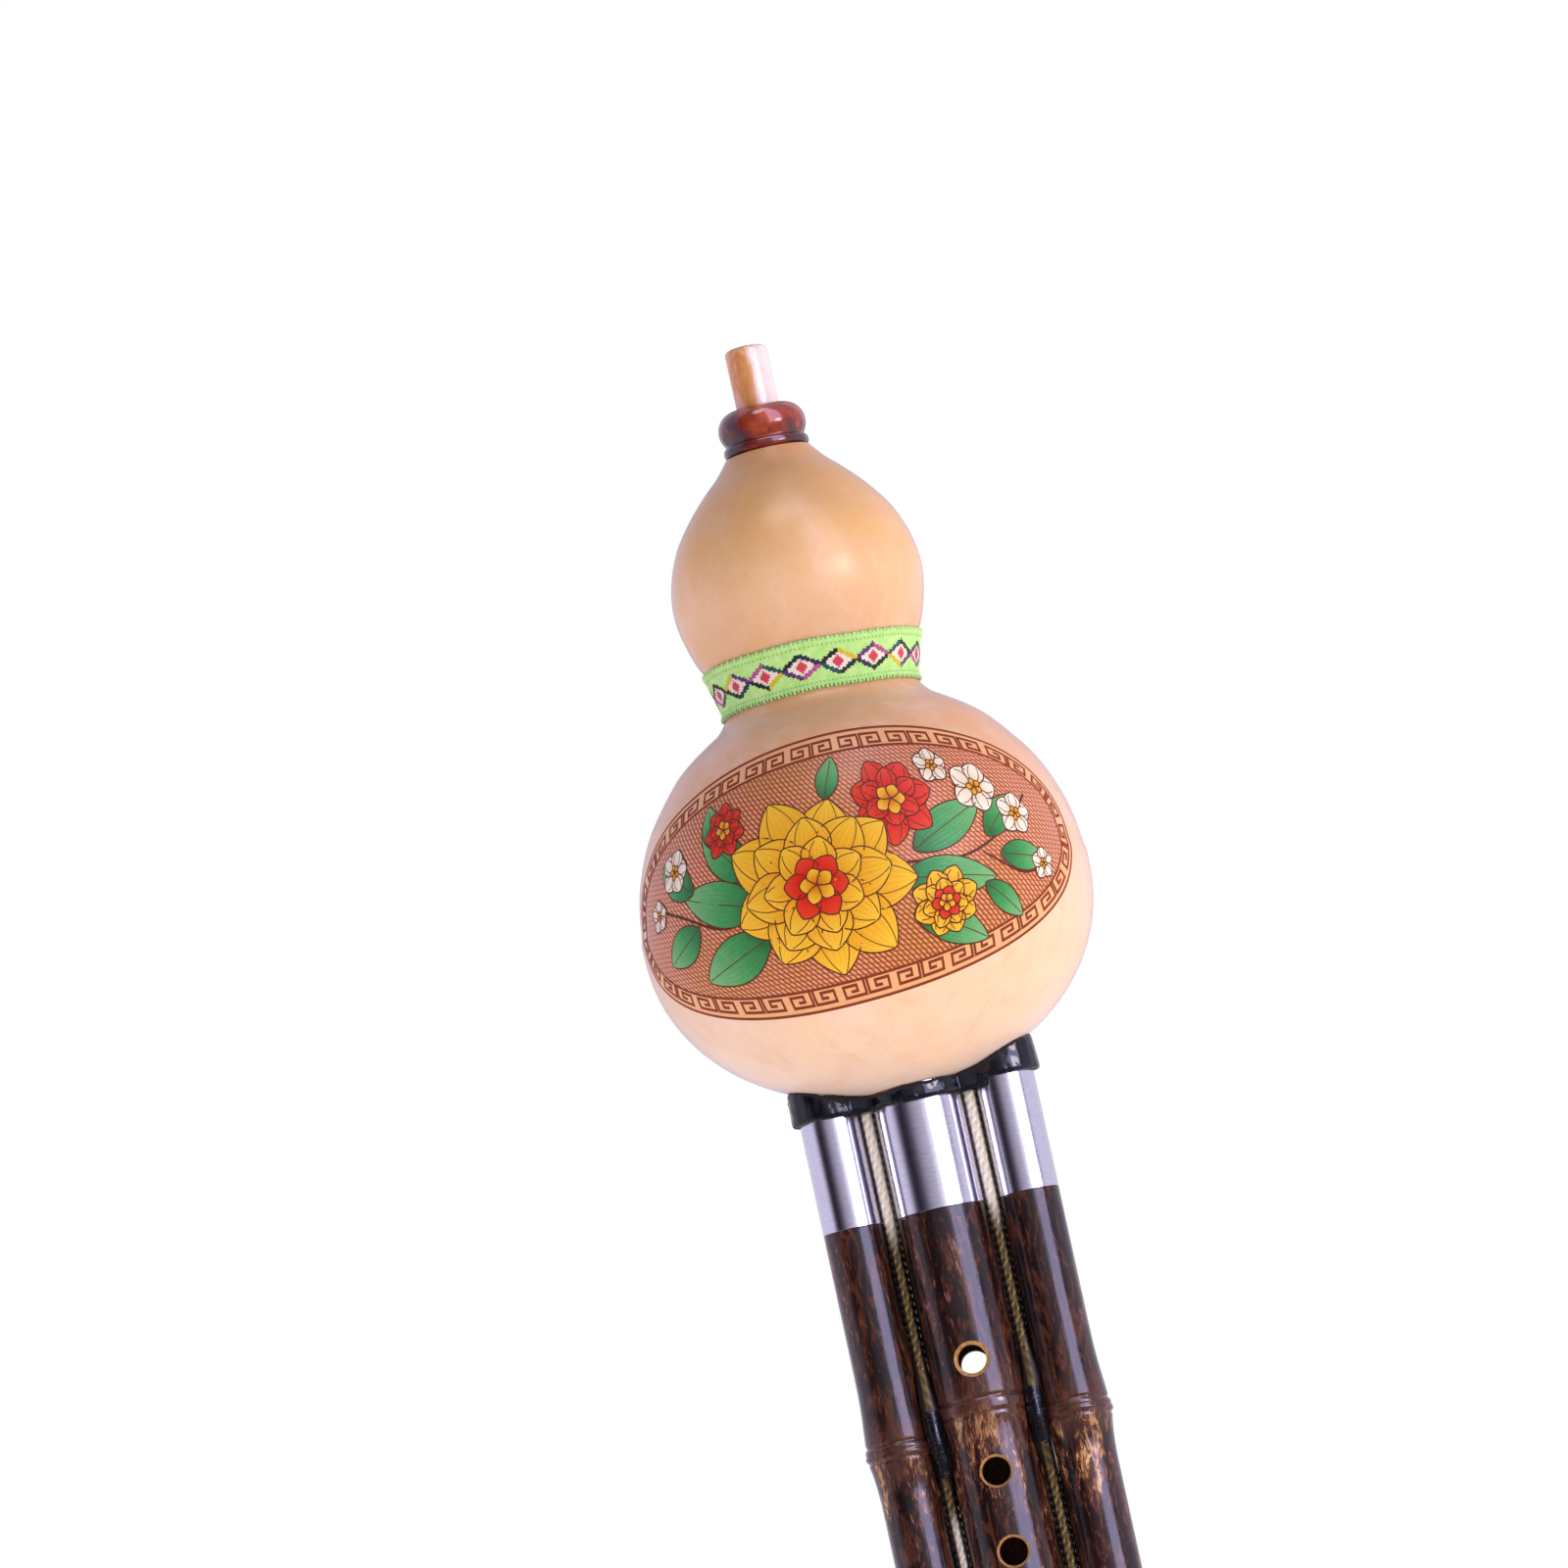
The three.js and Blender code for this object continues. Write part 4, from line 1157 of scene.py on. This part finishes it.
NODE_UP = 7.5  # how far a bamboo node's swelling reaches up the pipe, in millimetres
NODE_DOWN = 5.5
RIDGE_SHARE = 0.38  # of the swelling
RIDGE_PLACE = -0.5
RIDGE_HALF = 1.5
MAIN_SCARS = [(0.34, 1.5, 0.34), (0.24, -1.5, 0.36)]  # [depth, place above the node, half width]
DRONE_SCARS = [(0.34, 1.5, 0.34), (0.34, -1.5, 0.36), (0.2, 0, 0.3)]


def bell(t, place, half):
    return np.exp(-((t - place) / half) ** 2)


def node_shape(pipe):
    """How a pipe's radius changes at its nodes."""
    scars = MAIN_SCARS if pipe.name == "main" else DRONE_SCARS

    def shape(azimuth, height):
        total = np.zeros(np.broadcast(azimuth, height).shape)
        for number, middle in enumerate(pipe.nodes):
            waver = 0.35 * np.sin(azimuth + number) + 0.15 * np.sin(3 * azimuth + 2 * number)
            t = (height - middle) / MM + waver
            wide = np.where(t > 0, NODE_UP, NODE_DOWN)
            total += pipe.swell * (1 - RIDGE_SHARE) * bell(t, 0, wide)
            total += pipe.swell * RIDGE_SHARE * bell(t, RIDGE_PLACE, RIDGE_HALF)
            for depth, place, half in scars:
                total -= depth * MM * bell(t, place, half)
        slow = np.sin(height * 60 + 3 * pipe.radius / MM) * np.sin(azimuth * 2)
        return total + 0.04 * MM * slow

    return shape


def hole_cutter(pipe, height, turn, radius, bevel, finish, more):
    """A cutter through one wall of the pipe, with a bevelled rim, and a material for each part."""
    outside = pipe.radius
    rim, start = outside - HOLE_BEVEL_DEPTH, outside + HOLE_GAP
    profile = [(radius, 0), (radius, rim), (radius + bevel, start),
               (radius + bevel, outside + 3 * MM)]
    cutter = turned("hole_cut", profile, HOLE_COLUMNS, finish, caps=True)
    for material in more:
        cutter.data.materials.append(material)
    for polygon in cutter.data.polygons:
        polygon.material_index = 1 if rim < polygon.center.z < start else 2
    for vertex in cutter.data.vertices:
        if vertex.co.z > MM:
            vertex.co.z += math.sqrt(outside ** 2 - vertex.co.x ** 2) - outside
    aim = Vector((math.cos(turn), math.sin(turn), 0))
    matrix = aim.to_track_quat("Z", "Y").to_matrix().to_4x4()
    matrix.translation = Vector((*pipe.centre, height))
    cutter.data.transform(matrix)
    return cutter


def holes_of(pipe):
    """[height, direction, radius] of each hole, read from the rims in the CAD pipe's wall."""
    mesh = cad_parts[f"pipe_{pipe.name}"].data
    holes = []
    for direction in (math.radians(degrees) for degrees in (-90, 90, 0, 180)):
        aim = Vector((math.cos(direction), math.sin(direction), 0))
        rims = []
        for polygon in mesh.polygons:
            middle = polygon.center - Vector((*pipe.centre, 0))
            depth = middle.xy.dot(aim.xy)
            wall = pipe.bore * 1.05 < depth < pipe.radius - MM / 2
            if wall and abs(polygon.normal.dot(aim)) < 0.05 and abs(polygon.normal.z) > 0.3:
                rims += [mesh.vertices[index].co.z for index in polygon.vertices]
        for group in grouped(sorted({round(z, 5) for z in rims}), 6 * MM):
            low, high = group[0], group[-1]
            if high - low > 2 * MM:
                holes.append([(low + high) / 2, direction, (high - low) / 2])
    return holes


def make_pipes():
    raw = raw_bamboo("cut_bamboo", "#c99a5c", "#8f5f2c")
    # The bore is painted darker than the cut end, partly as painted shade inside the pipe.
    dark = raw_bamboo("bore_dark", "#6b3f28", "#3a2116")
    edge = PIPE_EDGE
    for seed, name in enumerate(PIPES):
        pipe = pipe_facts(name)
        finish = bamboo_finish(pipe, seed)
        shoulder = pipe.shoulder + SHOULDER_RISE
        spans = [(pipe.low + edge, pipe.shoulder - edge, PIPE_STEP)]
        spans += [(middle - reach, middle + reach, step)
                  for middle in pipe.nodes for reach, step in NODE_STEPS]
        heights = {round(z, 6) for span in spans for z in np.arange(*span)}
        radius = pipe.radius
        profile = [
            (pipe.bore, pipe.low), (radius - edge, pipe.low),
            (radius, pipe.low + edge), *[(radius, z) for z in sorted(heights)],
            (radius, shoulder - SHOULDER_EDGE), (radius - SHOULDER_EDGE, shoulder),
            (pipe.tenon, shoulder), (pipe.tenon, pipe.high), (pipe.bore, pipe.high)]
        bulge = node_shape(pipe)

        def shape(azimuth, height, bulge=bulge, pipe=pipe):
            inside = (height > pipe.shoulder - edge / 2) | (height < pipe.low + edge / 2)
            return np.where(inside, 0, bulge(azimuth, height))

        piece = turned(
            f"bamboo_{name}", profile, PIPE_COLUMNS, finish, pipe.centre, shape=shape)
        finish_edges(piece)
        piece.data.materials.append(raw)
        piece.data.materials.append(dark)
        if name == "main":
            holes = holes_of(pipe)
            top = max(height for height, direction, _ in holes if direction == -TURN / 4)
            carve(piece, [
                hole_cutter(pipe, height, direction, size,
                            TOP_HOLE_BEVEL if height > top - MM else HOLE_BEVEL, finish,
                            (raw, dark))
                for height, direction, size in holes])
            finish_edges(piece)
        paint_cut_faces(piece, pipe)
        ride(piece, "bamboo", f"pipe_{name}")


def paint_cut_faces(piece, pipe):
    """Bare bamboo on the lower end, and a bore painted darker, partly as painted shade."""
    centre = Vector((*pipe.centre, 0))
    for polygon in piece.data.polygons:
        middle = polygon.center - centre
        if middle.xy.length < pipe.bore + 0.02 * MM:
            polygon.material_index = 2
        elif middle.z < pipe.low + 0.05 * MM:
            polygon.material_index = 1


# Twisted cords

GROOVE_OFFSET = 10.26 * MM  # from the middle pipe's axis to the groove
STRANDS = 3
CORD_PITCH = 4.8 * MM
STRAND_OFFSET = 0.62 * MM
STRAND_RADIUS = 0.81 * MM
CORE_RADIUS = 1.26 * MM  # the core fills the groove, also where the cord climbs over the nodes
CORE_GAIN = 0.2  # how much thicker it is for each metre that the cord stands out
CORE_MARK = 100  # added to the core's places across, so that the material knows it
CORD_SIDES = 12


def cord_line(node):
    """The middle of each section along a CAD cord, from the top down."""
    corners = sorted((v.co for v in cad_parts[node].data.vertices), key=lambda co: -co.z)
    sections = grouped(corners, 1.5 * MM, lambda co: co.z)
    return np.array([sum(part, Vector()) / len(part) for part in sections])


def cord_finish():
    finish = Finish("gilt_cord", Roughness=0.5)
    x, _, z = finish.place().axes()
    # dark is painted shade: the cord turns near-black towards its sides, where it lies deep in the
    # groove between the pipes, with a narrower dark edge beside the ferrules.
    aside = abs(abs(x) - GROOVE_OFFSET / MM)
    dark = aside.between(0.35, 0.85).both((z + 30).between(4, -4).either(aside.between(0.75, 1.2)))
    around, forward, _ = finish.surface().axes()
    fibre = finish.noise(finish.surface(2.4), 2, 3, 0.7)
    yarn = ((around * 5 + forward * 2.2).sine() * 0.5 + 0.5) * 0.6 + fibre * 0.4
    gold = yarn.ramp((0.15, "#3a2a10"), (0.5, "#6e5520"), (0.8, "#a08642"))
    # pale is painted light: the cord beside the ferrules is painted cream-white for the glare of
    # the bright ferrules on either side.
    pale = yarn.ramp((0.1, "#d9cfb0"), (0.4, "#f8f4e6"), (0.8, "#fffef8"))
    # inner marks the core, seen in the valleys between the strands; it is darkened there as
    # painted shade.
    left, inner = x.below(0), around.above(CORE_MARK / 2)
    # The pale tone on the left side of each cord is a painted highlight.
    beside = x - (left * -2 + 1) * (GROOVE_OFFSET / MM)
    gold = layered(gold, (beside.between(0.1, -0.9) * 0.6, "#c9bd8c"), (inner * 0.65, "#33260f"))
    pale = (inner * 0.4).mix(pale, "#cfc4a6")
    # The left cord is also cream between heights of about -98 and -89 mm, in the same colour as
    # beside the ferrules.
    cream_patch = left * z.between(-83, -89).both(z.between(-104, -98))
    colour = z.between(-33, -24).either(cream_patch * 0.9).mix(gold, pale)
    finish.set("Metallic", z.between(-24, -33) * 0.35)
    return finish.done((dark * 0.92).mix(colour, "#140c08"), yarn, 0.06)


def level_ring(angles):
    return np.stack([np.cos(angles), np.sin(angles), 0 * angles], 1)


def make_cords():
    finish = cord_finish()
    for name in PIPES[1:]:
        node = f"groove_cord_{name}"
        line = smooth_line(cord_line(node), 16)
        travels = travel_along(line)
        count = round(travels[-1] / (CORD_PITCH / 12))
        travel = np.linspace(0, travels[-1], count)
        path = at_travel(travel, travels, line)[::-1]
        points, faces, corners = [], [], []
        core = CORE_RADIUS + CORE_GAIN * (path[:, 1].max() - path[:, 1])
        round_it = level_ring(np.arange(CORD_SIDES) / CORD_SIDES * TURN)
        for strand in range(STRANDS + 1):
            turn = TURN * (travel / CORD_PITCH + strand / STRANDS)
            thick = core if strand == STRANDS else np.full(count, STRAND_RADIUS)
            offset = 0 if strand == STRANDS else STRAND_OFFSET
            middle = path + offset * level_ring(turn)
            tube = middle[:, None, :] + round_it[None, :, :] * thick[:, None, None]
            across = np.arange(CORD_SIDES + 1) / CORD_SIDES * TURN * STRAND_RADIUS / MM
            across += CORE_MARK * (strand == STRANDS)
            flat, more, marks = skin(tube, crossed(across, travel / MM))
            start = sum(len(part) for part in points)
            points.append(flat)
            faces += [tuple(start + k for k in face) for face in more]
            corners += marks
        piece = add_piece(f"twisted_cord_{name}", np.vstack(points), faces, finish, corners)
        finish_edges(piece, 60, weld=1e-9)
        ride(piece, "gilt_cord", node)


# Wax

BEAD_CREST = 1.1 * MM  # so that the beads lie over the cords, and catch the light
WAX_SWELL = 0.3 * MM


def wax_finish():
    finish = Finish("black_wax", Roughness=0.4, Specular_IOR_Level=0.05, Coat_Weight=0.8,
                    Coat_Roughness=0.05)
    lump = finish.noise((), 0.35, 4, 0.6, 0.6)
    soft = finish.noise((), 0.4, 1, 0.4, 0.4)
    fine = finish.noise((), 1.6, 3, 0.6)
    colour = lump.ramp((0.3, "#05060d"), (0.6, "#0a0d18"), (0.8, "#151c2c"))
    return finish.done(colour, soft + fine * 0.02, 0.06)


def make_wax(node, finish, voxel, rough, seed, smooth, crest=0):
    """Poured wax: the CAD form, melted smooth, swollen to touch its neighbours and lumpy.

    crest is how much further the middle of a bead stands out in front.
    """
    low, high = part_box(node)
    middle, half = (low + high) / 2, (high - low) / 2
    piece = add_object(f"poured_{node}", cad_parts[node].data.copy())
    piece.data.materials.clear()
    piece.data.materials.append(finish)
    melt = piece.modifiers.new("melt", "REMESH")
    melt.mode = "VOXEL"
    melt.voxel_size = voxel
    melt.use_smooth_shade = True
    soften = piece.modifiers.new("soften", "SMOOTH")
    soften.factor = 0.5
    soften.iterations = smooth
    apply_modifiers(piece)
    for vertex in piece.data.vertices:
        place = vertex.co / MM + Vector((seed * 17.0, 0, 0))
        lump = noise.noise(place * 0.2) + 0.35 * noise.noise(place * 0.5)
        vertex.co += vertex.normal * (WAX_SWELL + rough * lump)
        across, depth, along = [(vertex.co - middle)[k] / half[k] for k in range(3)]
        bulge = max(0, 1 - across ** 2) * max(0, 1 - along ** 2)
        vertex.co.y -= crest * bulge * min(max(-depth, 0), 1)
    piece.data.polygons.foreach_set("use_smooth", [True] * len(piece.data.polygons))
    ride(piece, "black_wax", node)


def make_waxes():
    finish = wax_finish()
    make_wax("root_wax", finish, 0.35 * MM, 0.3 * MM, 1, 9)
    for number, name in enumerate(PIPES[1:]):
        for kind in ("node", "end"):
            make_wax(f"{kind}_wax_{name}", finish, 0.2 * MM, 0.05 * MM, 3 + number, 20, BEAD_CREST)


# Drone plugs and corks


def cork_finish():
    finish = Finish("cork", Roughness=0.9)
    grain = finish.noise((), 0.9, 4, 0.65)
    inputs = {"Vector": finish.place(), "Scale": 0.8}
    pits = add_node(finish.tree, "TexVoronoi", inputs, "Distance").between(0.22, 0.12)
    colour = grain.ramp((0.3, "#8d5f36"), (0.55, "#c1935f"), (0.8, "#d4ab79"))
    return finish.done(pits.mix(colour, "#6b4224"), grain * 0.6 - pits, 0.2)


def make_plugs():
    wood = grained(
        "dark_wood", (1, 1, 0.2), (0.9, 4, 0.6, 0.8),
        ((0.3, "#1d0f0b"), (0.55, "#3a2016"), (0.75, "#57301f")), 0.06, Roughness=0.35,
        Coat_Weight=0.8, Coat_Roughness=0.12)
    for name in PIPES[1:]:
        node = f"drone_plug_{name}"
        pipe_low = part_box(f"pipe_{name}")[0].z
        line = outline(node, math.radians(9))
        knob = line[line[:, 1] < pipe_low + MM / 10]
        stem = line[line[:, 1] >= pipe_low + MM / 10]
        face = [(0, knob[0, 1]), (knob[0, 0] * 0.7, knob[0, 1])]
        inside = [*stem, (0, stem[-1, 1])] if len(stem) else [(0, knob[-1, 1])]
        turned_on(node, f"plug_knob_{name}", [*face, *smooth_line(knob, 6), *inside], wood,
                  "plug_wood", columns=64, sharp=40, body=f"plug_{name}")
    cork = cork_finish()
    for node in ("plug_cork_left", "plug_cork_right", "end_cork"):
        dress(node, cork)


def dress(node, finish):
    """Gives a CAD node that stays a material of its own."""
    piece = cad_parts[node]
    if not piece.material_slots:
        piece.data.materials.append(finish)
    piece.material_slots[0].material = finish


# Reeds inside the gourd


def make_reeds():
    tube = raw_bamboo("reed_tube", "#c9a878", "#a07c4c")
    bronze = grained("reed_bronze", (1, 1, 0.3), (0.7, 4), ((0.3, "#9a6a2c"), (0.7, "#c79a52")),
                     0.02, Metallic=1, Roughness=0.3)
    wax = grained("bees_wax", (), (0.8, 3), ((0.3, "#7a4c16"), (0.7, "#a8742c")), 0.1,
                  Roughness=0.5)
    for name in PIPES:
        for part, finish in (("tube", tube), ("plate", bronze), ("tongue", bronze), ("wax", wax)):
            dress(f"reed_{part}_{name}", finish)
        dress(f"tube_cap_{name}", tube)


make_camera()
make_world()
make_lamps()
make_floor()
make_gourd()
make_border()
make_painting()
make_ribbon()
make_collar()
make_mouthpiece()
make_ferrules()
make_pipes()
make_cords()
make_waxes()
make_plugs()
make_reeds()
